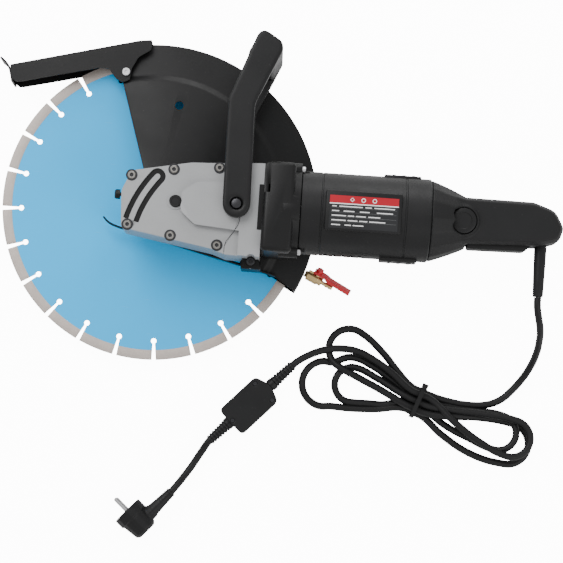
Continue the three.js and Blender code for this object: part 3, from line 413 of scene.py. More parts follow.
class Sheet:
    """A material's node tree while it is being laid out."""

    def __init__(self, name: str) -> None:
        """Starts a material with its shader.

        Args:
            name: the material's name.
        """
        self.material = bpy.data.materials.new(name)
        self.material.use_nodes = True
        self.tree = self.material.node_tree
        self.shader = self.tree.nodes["Principled BSDF"]

    def node(self, kind: str, **settings: object) -> bpy.types.Node:
        """Adds a node.

        Args:
            kind: the node's type name, without the ShaderNode prefix.
            settings: its properties by name.

        Returns:
            The node.
        """
        made = self.tree.nodes.new("ShaderNode" + kind)
        for key, value in settings.items():
            setattr(made, key, value)
        return made

    def link(self, source: bpy.types.NodeSocket, target: bpy.types.NodeSocket) -> None:
        """Joins an output to an input."""
        self.tree.links.new(source, target)

    def place(self) -> bpy.types.NodeSocket:
        """The point on the piece, in metres from the frame's origin."""
        return self.node("TexCoord").outputs["Object"]

    def effect(self, group: bpy.types.NodeTree, **values: float) -> bpy.types.Node:
        """Places a shared effect, fed with the point on the piece.

        Args:
            group: the shared node group.
            values: the values of its inputs, with underscores for spaces.

        Returns:
            The group's node.
        """
        made = self.tree.nodes.new("ShaderNodeGroup")
        made.node_tree = group
        self.link(self.place(), made.inputs["Place"])
        for key, value in values.items():
            made.inputs[key.replace("_", " ")].default_value = value
        return made

    def blend(self, mask: bpy.types.NodeSocket, low: Colour, high: Colour) -> bpy.types.NodeSocket:
        """A colour that goes from one to another with a mask.

        Args:
            mask: the mask, from 0 to 1.
            low: the colour where the mask is 0.
            high: the colour where the mask is 1.

        Returns:
            The mixed colour.
        """
        mix = self.node("Mix", data_type="RGBA")
        self.link(mask, mix.inputs[0])
        mix.inputs[6].default_value = (*low, 1)
        mix.inputs[7].default_value = (*high, 1)
        return mix.outputs[2]

    def over(self, mask: bpy.types.NodeSocket, under: bpy.types.NodeSocket,
            top: Colour) -> bpy.types.NodeSocket:
        """Lays one colour over a varying one with a mask.

        Args:
            mask: where the top colour shows, from 0 to 1.
            under: the varying colour beneath.
            top: the colour laid over it.

        Returns:
            The mixed colour.
        """
        mix = self.node("Mix", data_type="RGBA")
        self.link(mask, mix.inputs[0])
        self.link(under, mix.inputs[6])
        mix.inputs[7].default_value = (*top, 1)
        return mix.outputs[2]

    def span(self, value: bpy.types.NodeSocket, low: float, high: float, start: float = 0.0,
             stop: float = 1.0) -> bpy.types.NodeSocket:
        """Carries a value from one range to another.

        Args:
            value: the varying value.
            low: the result at start.
            high: the result at stop.
            start: the value that gives low.
            stop: the value that gives high.

        Returns:
            The value in its new range, held at its ends.
        """
        made = self.node("MapRange")
        self.link(value, made.inputs[0])
        for i, number in enumerate((start, stop, low, high), start=1):
            made.inputs[i].default_value = number
        return made.outputs[0]

    def relief(self, height: bpy.types.NodeSocket, distance: float, strength: float,
               under: bpy.types.NodeSocket | None = None) -> bpy.types.NodeSocket:
        """Turns a varying height into a normal, and gives it to the shader.

        Args:
            height: the varying height.
            distance: the height of the relief in metres.
            strength: how strongly it shows.
            under: another relief's normal that this one adds to.

        Returns:
            The normal.
        """
        bump = self.node("Bump")
        bump.inputs["Distance"].default_value = distance
        bump.inputs["Strength"].default_value = strength
        self.link(height, bump.inputs["Height"])
        if under is not None:
            self.link(under, bump.inputs["Normal"])
        self.link(bump.outputs[0], self.shader.inputs["Normal"])
        return bump.outputs[0]


def effect_group(name: str, inputs: dict[str, float], outputs: Sequence[str]) -> bpy.types.NodeTree:
    """Starts a shared effect that reads the point on a piece.

    Args:
        name: the group's name.
        inputs: its number inputs and their defaults.
        outputs: the names of its number outputs.

    Returns:
        The node group, with its sockets made.
    """
    group = bpy.data.node_groups.new(name, "ShaderNodeTree")
    group.interface.new_socket("Place", in_out="INPUT", socket_type="NodeSocketVector")
    for key, value in inputs.items():
        socket = group.interface.new_socket(key, in_out="INPUT", socket_type="NodeSocketFloat")
        socket.default_value = value
    for key in outputs:
        group.interface.new_socket(key, in_out="OUTPUT", socket_type="NodeSocketFloat")
    group.nodes.new("NodeGroupInput")
    group.nodes.new("NodeGroupOutput")
    return group


def grain_effect() -> bpy.types.NodeTree:
    """A moulded or cast surface: fine pebbles, and broad patches that vary slowly.

    Returns:
        The group, with inputs Place, Grain Size and Patch Size, and outputs Height and Patch.
    """
    group = effect_group("surface_grain", {"Grain Size": 900.0, "Patch Size": 25.0}, ("Height", "Patch"))
    given, result = group.nodes["Group Input"], group.nodes["Group Output"]
    for size, output, detail in (("Grain Size", "Height", 3.0), ("Patch Size", "Patch", 4.0)):
        noise = group.nodes.new("ShaderNodeTexNoise")
        noise.inputs["Detail"].default_value = detail
        group.links.new(given.outputs["Place"], noise.inputs["Vector"])
        group.links.new(given.outputs[size], noise.inputs["Scale"])
        group.links.new(noise.outputs[0], result.inputs[output])
    return group


def scuff_effect() -> bpy.types.NodeTree:
    """Fine hairline scratches and specks of dust from handling.

    Returns:
        The group, with inputs Place and Amount, and outputs Scratches and Dust.
    """
    group = effect_group("handling_marks", {"Amount": 0.5}, ("Scratches", "Dust"))
    given, result = group.nodes["Group Input"], group.nodes["Group Output"]
    for output, scale, stretch, low, high in (
        ("Scratches", 60.0, (1.0, 9.0, 3.0), 0.66, 0.72),
        ("Dust", 420.0, (1.0, 1.0, 1.0), 0.66, 0.78),
    ):
        turned = group.nodes.new("ShaderNodeMapping")
        turned.inputs["Scale"].default_value = stretch
        turned.inputs["Rotation"].default_value = (0.3, 0.2, 0.7)
        noise = group.nodes.new("ShaderNodeTexNoise")
        noise.inputs["Scale"].default_value = scale
        noise.inputs["Detail"].default_value = 6.0
        edge = group.nodes.new("ShaderNodeMapRange")
        edge.inputs[1].default_value = low
        edge.inputs[2].default_value = high
        scaled = group.nodes.new("ShaderNodeMath")
        scaled.operation = "MULTIPLY"
        group.links.new(given.outputs["Place"], turned.inputs["Vector"])
        group.links.new(turned.outputs[0], noise.inputs["Vector"])
        group.links.new(noise.outputs[0], edge.inputs[0])
        group.links.new(edge.outputs[0], scaled.inputs[0])
        group.links.new(given.outputs["Amount"], scaled.inputs[1])
        group.links.new(scaled.outputs[0], result.inputs[output])
    return group


def turning_effect() -> bpy.types.NodeTree:
    """Concentric marks round the spindle, left by a lathe or a grinder.

    Returns:
        The group, with inputs Place and Rings, and outputs Radius and Marks.
    """
    group = effect_group("turning_marks", {"Rings": 9000.0}, ("Radius", "Marks"))
    given, result = group.nodes["Group Input"], group.nodes["Group Output"]
    flat = group.nodes.new("ShaderNodeVectorMath")
    flat.operation = "MULTIPLY"
    flat.inputs[1].default_value = (1, 1, 0)
    length = group.nodes.new("ShaderNodeVectorMath")
    length.operation = "LENGTH"
    noise = group.nodes.new("ShaderNodeTexNoise")
    noise.noise_dimensions = "1D"
    noise.inputs["Detail"].default_value = 2.0
    group.links.new(given.outputs["Place"], flat.inputs[0])
    group.links.new(flat.outputs["Vector"], length.inputs[0])
    group.links.new(length.outputs["Value"], noise.inputs["W"])
    group.links.new(given.outputs["Rings"], noise.inputs["Scale"])
    group.links.new(length.outputs["Value"], result.inputs["Radius"])
    group.links.new(noise.outputs[0], result.inputs["Marks"])
    return group


GRAIN = grain_effect()
SCUFFS = scuff_effect()
TURNING = turning_effect()


@dataclass(frozen=True)
class MouldedFinish:
    """Plastic, rubber or powder coat: one dark or coloured skin with a fine grain."""

    name: str
    colour: Colour
    lighter: Colour
    roughness: float = 0.45
    grain_size: float = 1500.0
    grain_depth: float = 0.00006
    patches: float = 22.0
    marks: float = 0.35
    dust: Colour = (0.05, 0.05, 0.05)
    coat: float = 0.0
    sheen: float = 0.22

    def material(self) -> bpy.types.Material:
        """Lays out the material.

        Returns:
            The finished material.
        """
        sheet = Sheet(self.name)
        grain = sheet.effect(GRAIN, Grain_Size=self.grain_size, Patch_Size=self.patches)
        marks = sheet.effect(SCUFFS, Amount=self.marks)
        base = sheet.blend(grain.outputs["Patch"], self.colour, self.lighter)
        worn = sheet.over(marks.outputs["Dust"], base, self.dust)
        sheet.link(worn, sheet.shader.inputs["Base Color"])
        rough = sheet.span(grain.outputs["Patch"], self.roughness - 0.06, self.roughness + 0.08, 0.3, 0.7)
        sheet.link(rough, sheet.shader.inputs["Roughness"])
        sheet.shader.inputs["Coat Weight"].default_value = self.coat
        sheet.shader.inputs["Specular IOR Level"].default_value = self.sheen
        sheet.shader.inputs["Coat Roughness"].default_value = 0.25
        fine = sheet.relief(grain.outputs["Height"], self.grain_depth, 0.6)
        sheet.relief(marks.outputs["Scratches"], 0.00002, 0.25, fine)
        return sheet.material


@dataclass(frozen=True)
class MetalFinish:
    """Bare metal: cast, ground or turned."""

    name: str
    colour: Colour
    darker: Colour
    roughness: float = 0.35
    metallic: float = 1.0
    grain_size: float = 700.0
    grain_depth: float = 0.00005
    patches: float = 30.0
    marks: float = 0.5

    def material(self) -> bpy.types.Material:
        """Lays out the material.

        Returns:
            The finished material.
        """
        sheet = Sheet(self.name)
        grain = sheet.effect(GRAIN, Grain_Size=self.grain_size, Patch_Size=self.patches)
        marks = sheet.effect(SCUFFS, Amount=self.marks)
        base = sheet.blend(grain.outputs["Patch"], self.darker, self.colour)
        worn = sheet.over(marks.outputs["Scratches"], base, self.darker)
        sheet.link(worn, sheet.shader.inputs["Base Color"])
        sheet.link(sheet.span(grain.outputs["Height"], self.roughness - 0.08, self.roughness + 0.1, 0.3, 0.7),
                   sheet.shader.inputs["Roughness"])
        sheet.shader.inputs["Metallic"].default_value = self.metallic
        sheet.relief(grain.outputs["Height"], self.grain_depth, 0.7)
        return sheet.material


@dataclass(frozen=True)
class LacquerFinish:
    """The disc's satin lacquer over ground steel, with rings that show faintly through it."""

    name: str
    colour: Colour
    deeper: Colour
    roughness: float = 0.33

    def material(self) -> bpy.types.Material:
        """Lays out the material.

        Returns:
            The finished material.
        """
        sheet = Sheet(self.name)
        sheet.shader.inputs["Specular IOR Level"].default_value = 0.2
        rings = sheet.effect(TURNING, Rings=2600.0)
        grain = sheet.effect(GRAIN, Grain_Size=2400.0, Patch_Size=9.0)
        marks = sheet.effect(SCUFFS, Amount=0.08)
        base = sheet.blend(sheet.span(grain.outputs["Patch"], 0, 1, 0.3, 0.7), self.colour, self.deeper)
        worn = sheet.over(marks.outputs["Scratches"], base, (0.35, 0.62, 0.8))
        sheet.link(worn, sheet.shader.inputs["Base Color"])
        sheet.link(sheet.span(rings.outputs["Marks"], self.roughness - 0.05, self.roughness + 0.07, 0.3, 0.7),
                   sheet.shader.inputs["Roughness"])
        fine = sheet.relief(rings.outputs["Marks"], 0.00002, 0.25)
        sheet.relief(grain.outputs["Height"], 0.00003, 0.3, fine)
        return sheet.material


@dataclass(frozen=True)
class SinteredFinish:
    """The cutting segments: pressed bronze powder with diamond grit."""

    name: str
    colour: Colour
    grit: Colour

    def material(self) -> bpy.types.Material:
        """Lays out the material.

        Returns:
            The finished material.
        """
        sheet = Sheet(self.name)
        cells = sheet.node("TexVoronoi", feature="F1")
        cells.inputs["Scale"].default_value = 900.0
        sheet.link(sheet.place(), cells.inputs["Vector"])
        grain = sheet.effect(GRAIN, Grain_Size=1500.0, Patch_Size=60.0)
        specks = sheet.span(cells.outputs["Distance"], 1, 0, 0.12, 0.3)
        base = sheet.blend(grain.outputs["Patch"], tuple(c * 0.8 for c in self.colour), self.colour)
        sheet.link(sheet.over(specks, base, self.grit), sheet.shader.inputs["Base Color"])
        sheet.shader.inputs["Metallic"].default_value = 0.35
        sheet.shader.inputs["Roughness"].default_value = 0.55
        rough = sheet.relief(grain.outputs["Height"], 0.0001, 0.6)
        sheet.relief(specks, 0.00012, 0.5, rough)
        return sheet.material


@dataclass
class Finishes:
    """Every finish of the saw, made once and shared."""

    cast: bpy.types.Material = field(default_factory=MetalFinish(
        "cast_aluminium", (0.33, 0.335, 0.34), (0.27, 0.275, 0.28), 0.5, 0.45, 650.0, 0.00012).material)
    steel: bpy.types.Material = field(default_factory=MetalFinish(
        "ground_steel", (0.62, 0.62, 0.63), (0.5, 0.5, 0.51), 0.3, 1.0, 2200.0, 0.00002).material)
    screw: bpy.types.Material = field(default_factory=MetalFinish(
        "dark_screw", (0.3, 0.29, 0.27), (0.2, 0.19, 0.18), 0.34, 0.9, 2200.0, 0.00002).material)
    oxide: bpy.types.Material = field(default_factory=MetalFinish(
        "black_oxide", (0.05, 0.05, 0.055), (0.03, 0.03, 0.032), 0.34, 0.8, 2200.0, 0.00002).material)
    brass: bpy.types.Material = field(default_factory=MetalFinish(
        "turned_brass", (0.72, 0.53, 0.27), (0.55, 0.38, 0.17), 0.3, 1.0, 1800.0, 0.00003).material)
    copper: bpy.types.Material = field(default_factory=MetalFinish(
        "wound_copper", (0.6, 0.28, 0.12), (0.4, 0.18, 0.08), 0.35, 1.0, 1500.0, 0.0001).material)
    paint: bpy.types.Material = field(default_factory=MouldedFinish(
        "black_powder_coat", (0.004, 0.004, 0.0043), (0.0062, 0.0062, 0.0065), 0.4, 1300.0, 0.00005).material)
    plastic: bpy.types.Material = field(default_factory=MouldedFinish(
        "black_moulding", (0.0065, 0.0065, 0.007), (0.01, 0.01, 0.0105), 0.42, 1600.0, 0.00006).material)
    grip: bpy.types.Material = field(default_factory=MouldedFinish(
        "soft_black_grip", (0.0065, 0.0065, 0.007), (0.01, 0.01, 0.0105), 0.5, 1900.0, 0.0001).material)
    rubber: bpy.types.Material = field(default_factory=MouldedFinish(
        "cord_rubber", (0.006, 0.006, 0.0065), (0.0095, 0.0095,
                0.01), 0.46, 1200.0, 0.00008, 35.0, 0.5).material)
    grey: bpy.types.Material = field(default_factory=MouldedFinish(
        "grey_moulding", (0.13, 0.135, 0.14), (0.19, 0.195, 0.2), 0.5, 1500.0, 0.00008).material)
    carbon: bpy.types.Material = field(default_factory=MouldedFinish(
        "pressed_carbon", (0.03, 0.03, 0.03), (0.05, 0.05, 0.05), 0.7, 900.0, 0.0001).material)
    red: bpy.types.Material = field(default_factory=MouldedFinish(
        "red_dip", (0.5, 0.012, 0.02), (0.62, 0.02, 0.03), 0.3, 500.0, 0.0001, coat=0.4).material)
    lacquer: bpy.types.Material = field(default_factory=LacquerFinish(
        "blue_lacquer", (0.0, 0.48, 0.97), (0.0, 0.45, 0.92)).material)
    segment: bpy.types.Material = field(default_factory=SinteredFinish(
        "sintered_segment", (0.52, 0.46, 0.42), (0.72, 0.68, 0.62)).material)
    label_dark: bpy.types.Material = field(default_factory=MouldedFinish(
        "label_body", (0.015, 0.0155, 0.017), (0.02, 0.0205, 0.022), 0.35, 2500.0, 0.00001).material)
    label_red: bpy.types.Material = field(default_factory=MouldedFinish(
        "label_header", (0.34, 0.008, 0.018), (0.4, 0.012, 0.024), 0.35, 2500.0, 0.00001).material)
    label_ink: bpy.types.Material = field(default_factory=MouldedFinish(
        "label_ink", (0.7, 0.7, 0.7), (0.8, 0.8, 0.8), 0.4, 2500.0, 0.00001, dust=(0.6, 0.6, 0.6)).material)
    floor: bpy.types.Material = field(default_factory=MouldedFinish(
        "pale_floor", (0.86, 0.86, 0.86), (0.9, 0.9, 0.9), 0.6, 400.0, 0.00002, 3.0, 0.0).material)


def dress(piece: bpy.types.Object, material: bpy.types.Material) -> None:
    """Gives a whole piece one finish.

    Args:
        piece: the object to dress.
        material: its finish.
    """
    piece.data.materials.clear()
    piece.data.materials.append(material)


def fit(piece: bpy.types.Object, body: Body, material: bpy.types.Material,
        replaces: Sequence[str] = ()) -> bpy.types.Object:
    """Dresses a piece, hangs it on the body it rides on, and hides the solids of the frame that it stands
    for.

    Args:
        piece: the finished piece.
        body: the rigid body it moves with.
        material: its finish.
        replaces: the solids of the frame that it stands for.

    Returns:
        The piece.
    """
    dress(piece, material)
    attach(piece, body.value)
    if replaces:
        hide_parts(*replaces)
    LOG.info("%s rides on %s", piece.name, body.value)
    return piece


# ---- Cords ----------------------------------------------------------------------------------------------


@dataclass(frozen=True)
class HankFold:
    """One fold of the rolled lead: a slot in the tie, an arc beyond it, and the slot it comes back to."""

    away: tuple[Point, ...]
    centre: Flat
    radius: float
    first: float
    last: float
    heights: tuple[float, float, float]
    back: tuple[Point, ...]

    def points(self) -> list[Point]:
        """The fold's points, with its arc drawn in steps of 26 degrees or less.

        Returns:
            The points in metres, in order along the cord.
        """
        steps = max(6, math.ceil(abs(self.last - self.first) / 26))
        arc = []
        for i in range(steps + 1):
            t = i / steps
            angle = math.radians(self.first + (self.last - self.first) * t)
            start, middle, end = self.heights
            rise = (1 - t) ** 2 * start + 2 * t * (1 - t) * middle + t**2 * end
            arc.append((self.centre[0] + self.radius * math.cos(angle),
                        self.centre[1] + self.radius * math.sin(angle), rise))
        return [*self.away, *arc, *self.back]


@dataclass
class MainsCord:
    """The cord: saw to hank to residual-current box, and box to plug."""

    diameter: float = 8.5 * MM
    tie_centre: Flat = (0.321, -0.205)
    tie_angle: float = math.radians(-20.7)
    pass_pitch: float = 8.8 * MM
    low_pass: float = 5.75 * MM
    high_pass: float = 13.4 * MM
    floor_height: float = 4.35 * MM
    main_length: float = 2.15
    plug_length: float = 0.085

    def slot(self, place: int, along: float) -> Point:
        """A pass's place in the tie.

        Args:
            place: 0 to 3 for the lower row from the near side, 4 to 6 for the upper row.
            along: how far from the tie's middle, towards the saw's rear.

        Returns:
            The point on that pass.
        """
        upper = place > 3
        across = (place - 5 if upper else place - 1.5) * self.pass_pitch
        c, s = math.cos(self.tie_angle), math.sin(self.tie_angle)
        height = self.high_pass if upper else self.low_pass
        return (self.tie_centre[0] + along * c - across * s, self.tie_centre[1] + along * s + across * c,
                height)

    def through(self, place: int, step: float) -> tuple[Point, ...]:
        """A pass through the tie, leftwards for a negative step and rightwards for a positive one."""
        return tuple(self.slot(place, step * i) for i in (-1, 0, 1))

    def main_route(self) -> list[Point]:
        """The whole line from the strain relief to the box's boot.

        Returns:
            The points in metres.
        """
        low, high = self.floor_height, self.high_pass
        down = [(444, -81.5, 95), (444.4, -92, 94.4), (447.5, -104, 87), (451.5, -116, 73.5),
                (453.3, -129, 55),
                (452.5, -143, 35.5), (448.5, -156.5, 19.5), (441, -170.5, 9.3), (430.5, -184, 5.4),
                (417.5, -196.3, 4.7), (401.5, -203, 4.7), (378, -204.5, 4.6), (355, -201.5, 4.6)]
        folds = (
            HankFold(((0.2946, -0.1694, low), (0.2789, -0.1517, low)), (0.238, -0.149), 0.024, 58, 245,
                     (low, low, high), ((0.250, -0.1815, high), (0.278, -0.1945, high))),
            HankFold(((0.358, -0.2195, high), (0.392, -0.2185, 0.009)), (0.429, -0.2465), 0.024, 85, -100,
                     (0.006, low, low), ((0.390, -0.2625, low), (0.352, -0.2415, low))),
            HankFold(((0.272, -0.2165, low), (0.242, -0.2175, low)), (0.212, -0.191), 0.0265, -75, -285,
                     (low, low, low), ((0.240, -0.158, low), (0.266, -0.1665, low), (0.290, -0.1815, low))),
            HankFold(((0.360, -0.2080, low), (0.390, -0.2105, low)), (0.417, -0.2345), 0.0205, 75, -105,
                     (0.007, 0.016, 0.010), ((0.384, -0.2435, low), (0.353, -0.2290, low))),
            HankFold(((0.282, -0.2105, low), (0.262, -0.2105, low)), (0.244, -0.190), 0.0205, -85, -275,
                     (low, low, low), ((0.272, -0.1805, 0.008),)),
            HankFold(((0.362, -0.2125, high), (0.398, -0.2140, 0.0155)), (0.432, -0.2405), 0.0215, 80, -105,
                     (0.019, 0.019, 0.0215), ((0.394, -0.2465, 0.0205), (0.364, -0.2255, 0.0195))),
        )
        out = [(0.2884, -0.1733, high), (0.2695, -0.1612, high), (0.2479, -0.1514, high),
                (0.2281, -0.1492, high),
               (0.2086, -0.1522, high), (0.1975, -0.1563, 0.014), (0.189, -0.1606, 0.0142), (0.181, -0.1656,
                       0.0141),
               (0.175, -0.1704, 0.014), (0.1718, -0.1736, 0.014)]
        order = (3, 4, 0, 2, 1, 5, 6)
        route = [tuple(v * MM for v in p) for p in down]
        for i, place in enumerate(order):
            step = 0.012 if i % 2 else -0.012
            route += self.through(place, step)
            route += folds[i].points() if i < len(folds) else out
        return route

    def plug_route(self) -> list[Point]:
        """The line from the residual-current box to the plug's boot."""
        line = [(83.7, -264.8, 14), (80.6, -268.4, 13.4), (76.2, -275.6, 11), (70, -286, 8.6),
                (63, -298, 8.2),
                (55.5, -309.5, 11.6), (48.5, -319.8, 16.6), (41.8, -328.7, 18.9)]
        return [tuple(v * MM for v in p) for p in line]

    def curve(self, name: str, points: Sequence[Point]) -> bpy.types.Object:
        """A round cord along a line.

        Args:
            name: the piece's name.
            points: the centre line in metres.

        Returns:
            The curve, one open spline.
        """
        data = bpy.data.curves.new(name, "CURVE")
        data.dimensions = "3D"
        data.resolution_u = 6
        data.bevel_depth = self.diameter / 2
        data.bevel_resolution = 4
        data.use_fill_caps = True
        spline = data.splines.new("BEZIER")
        spline.bezier_points.add(len(points) - 1)
        for knot, place in zip(spline.bezier_points, points):
            knot.co = place
            knot.handle_left_type = knot.handle_right_type = "AUTO"
        piece = bpy.data.objects.new(name, data)
        bpy.context.collection.objects.link(piece)
        return piece

    def build(self, finishes: Finishes, on_main: Sequence[bpy.types.Object],
              on_plug: Sequence[bpy.types.Object]) -> None:
        """Args:
            finishes: the saw's finishes.
            on_main: the pieces on the cord to the box; not used.
            on_plug: the pieces on the cord to the plug; not used.
        """
        main = self.curve("mains_cord", self.main_route())
        fit(main, Body.FRAME, finishes.rubber, ("mains_lead", "lead_hank", "box_lead"))
        self.main_route()[0]
        short = self.curve("plug_cord", self.plug_route())
        fit(short, Body.FRAME, finishes.rubber, ("plug_lead",))


# ---- Studio ---------------------------------------------------------------------------------------------


@dataclass
class Studio:
    """The pale floor, the soft lights and the camera above the saw."""

    elevation: float = math.radians(85)
    roll: float = math.radians(3.8)
    distance: float = 2.6
    lens: float = 142.3
    off_centre: Flat = (-0.1483, 0.0858)
    blade_height: float = 0.02
    backdrop: float = 12.0

    def camera(self) -> None:
        """Stands the camera over the saw and makes it the scene's."""
        back = Vector((0, -math.cos(self.elevation), math.sin(self.elevation)))
        level = Vector((1, 0, 0))
        rise = back.cross(level)
        right = level * math.cos(self.roll) + rise * math.sin(self.roll)
        up = rise * math.cos(self.roll) - level * math.sin(self.roll)
        aim = Vector((0, 0, self.blade_height)) - right * self.off_centre[0] - up * self.off_centre[1]
        data = bpy.data.cameras.new("camera")
        data.lens = self.lens
        data.clip_end = 20
        camera = bpy.data.objects.new("camera", data)
        camera.matrix_world = Matrix.Translation(aim + back * self.distance) @ Matrix(
            (right, up, back)).transposed().to_4x4()
        bpy.context.collection.objects.link(camera)
        bpy.context.scene.camera = camera

    def light(self, name: str, place: Point, size: float, power: float) -> None:
        """Hangs one soft square light that faces the saw.

        Args:
            name: the light's name.
            place: where it hangs.
            size: its side in metres.
            power: its power in watts.
        """
        data = bpy.data.lights.new(name, "AREA")
        data.size = size
        data.energy = power
        lamp = bpy.data.objects.new(name, data)
        lamp.location = place
        lamp.rotation_euler = (Vector(place) - Vector((0.12, -0.05, 0))).to_track_quat("Z", "Y").to_euler()
        bpy.context.collection.objects.link(lamp)

    def brighten(self, material: bpy.types.Material) -> None:
        """Makes the floor shine white to the camera alone, as a lit paper backdrop does.

        Args:
            material: the floor's finish.
        """
        tree = material.node_tree
        seen = tree.nodes.new("ShaderNodeLightPath")
        glow = tree.nodes.new("ShaderNodeMath")
        glow.operation = "MULTIPLY"
        glow.inputs[1].default_value = self.backdrop
        tree.links.new(seen.outputs["Is Camera Ray"], glow.inputs[0])
        shader = next(n for n in tree.nodes if n.type == "BSDF_PRINCIPLED")
        shader.inputs["Emission Color"].default_value = (1, 1, 1, 1)
        tree.links.new(glow.outputs["Value"], shader.inputs["Emission Strength"])

    def build(self, finishes: Finishes) -> None:
        """Lays the floor, hangs the lights and sets the camera.

        Args:
            finishes: the shared finishes.
        """
        deselect()
        bpy.ops.mesh.primitive_plane_add(size=8, location=(0.1, 0, CAD_BOX[0][2] - 0.0004))
        floor = named("studio_floor")
        dress(floor, finishes.floor)
        self.brighten(finishes.floor)
        world = bpy.data.worlds.new("studio_air")
        world.use_nodes = True
        world.node_tree.nodes["Background"].inputs[0].default_value = (1, 1, 1, 1)
        world.node_tree.nodes["Background"].inputs[1].default_value = 0.9
        bpy.context.scene.world = world
        self.light("key", (-0.7, 0.9, 1.6), 1.1, 26)
        self.light("fill", (1.3, -0.9, 1.3), 1.4, 12)
        self.light("rim", (0.3, 1.8, 0.7), 0.8, 14)
        self.camera()


# ---- Diamond blade --------------------------------------------------------------------------------------


@dataclass(frozen=True)
class BladeSizes:
    """Sizes of the cutting disc, in metres."""

    rim: float = 0.1775
    segment_root: float = 0.166
    core_low: float = 0.0188
    core_high: float = 0.0212
    segment_low: float = 0.0184
    segment_high: float = 0.0216
    count: int = 24
    phase: float = math.radians(3.7)
    arbor: float = 0.0127
    slot_width: float = 0.0024
    slot_mouth: float = 0.005
    slot_end: float = 0.1555
    slot_hole: float = 0.0032


class Blade:
    """The lacquered steel disc with its keyhole slots and its sintered segments."""

    def __init__(self, sizes: BladeSizes) -> None:
        """Keeps the sizes.

        Args:
            sizes: the sizes of the disc.
        """
        self.sizes = sizes

    def turns(self, shift: float = 0.0) -> list[Matrix]:
        """The places of a repeated feature.

        Args:
            shift: an angle in radians added to each place.

        Returns:
            A matrix for each place.
        """
        s = self.sizes
        return [Matrix.Rotation(s.phase + shift + math.tau * i / s.count, 4, "Z") for i in range(s.count)]

    def core(self) -> bpy.types.Object:
        """Cuts the disc out of a round plate.

        Returns:
            The disc.
        """
        s = self.sizes
        disc = drum("blade_core", s.segment_root, s.core_low, s.core_high, (0, 0, 0), sides=240)
        slot = slab("slot", [(s.slot_end, -s.slot_width / 2), (s.rim, -s.slot_mouth / 2),
                (s.rim, s.slot_mouth / 2),
                             (s.slot_end, s.slot_width / 2)], 0, 0.04)
        hole = drum("slot_end", s.slot_hole, 0, 0.04, (s.slot_end, 0, 0), sides=20)
        carve(slot, [hole], "UNION")
        tools = merge("slot", copies(slot, self.turns()))
        discard(slot)
        bore = drum("arbor", s.arbor, 0, 0.04, (0, 0, 0), sides=64)
        carve(disc, [tools, bore])
        return disc

    def segments(self) -> bpy.types.Object:
        """Lays one segment in each gap between two slots.

        Returns:
            All the segments.
        """
        s = self.sizes
        half = math.pi / s.count - math.asin(s.slot_mouth / 2 / s.rim)
        flare = (s.slot_mouth - s.slot_width) / (s.rim - s.slot_end)
        root_gap = s.slot_width + flare * (s.segment_root - s.slot_end)
        inner = math.pi / s.count - math.asin(root_gap / 2 / s.segment_root)
        arc = [(-1 + k / 5) * half for k in range(11)]
        outline = [(s.rim * math.cos(a), s.rim * math.sin(a)) for a in arc]
        root = [a * inner / half for a in reversed(arc)]
        outline += [(s.segment_root * math.cos(a), s.segment_root * math.sin(a)) for a in root]
        first = slab("segment", outline, s.segment_low, s.segment_high)
        round_edges(first, 0.0004, 2, 50)
        whole = merge("blade_segments", copies(first, self.turns(math.pi / s.count)))
        discard(first)
        shade(whole)
        return whole

    def build(self, finishes: Finishes) -> None:
        """Builds the disc and its segments.

        Args:
            finishes: the shared finishes.
        """
        fit(self.core(), Body.SPINDLE, finishes.lacquer, ("diamond_blade",))
        fit(self.segments(), Body.SPINDLE, finishes.segment)


# ---- Screws ---------------------------------------------------------------------------------------------


def cap_screw(name: str, centre: Point, head: Flat, shank: Flat, socket: float,
              axis: Axis = Axis.Z) -> bpy.types.Object:
    """A socket head screw.

    Args:
        name: the object's name.
        centre: the point under the middle of its head.
        head: the head's radius and height.
        shank: the shank's radius and length.
        socket: the socket's radius over its corners.
        axis: the way its head points.

    Returns:
        The screw.
    """
    r, h = head
    profile = [(0, -shank[1]), (shank[0], -shank[1]), (shank[0], 0), (r, 0), (r, h * 0.8), (r - h * 0.2, h),
            (0, h)]
    screw = lathe(name, profile, centre, axis, 32)
    carve(screw, [drum("socket", socket, h * 0.35, h + 0.001, centre, axis, 6)])
    shade(screw)
    return screw


def socket_shadow(name: str, centre: Point, reach: float, radius: float, body: Body,
                  material: bpy.types.Material) -> None:
    """Paints the shade on the floor of a screw's socket: a dark hexagon where the socket's shade falls.

    Args:
        name: the object's name.
        centre: the point under the middle of the screw's head.
        reach: the height of the socket's floor over that point.
        radius: the floor's radius.
        body: the body that the screw rides on.
        material: the dark finish that paints the shade.
    """
    fit(drum(name, radius, reach, reach + 0.0006, centre, sides=6), body, material)


# ---- Gear case ------------------------------------------------------------------------------------------


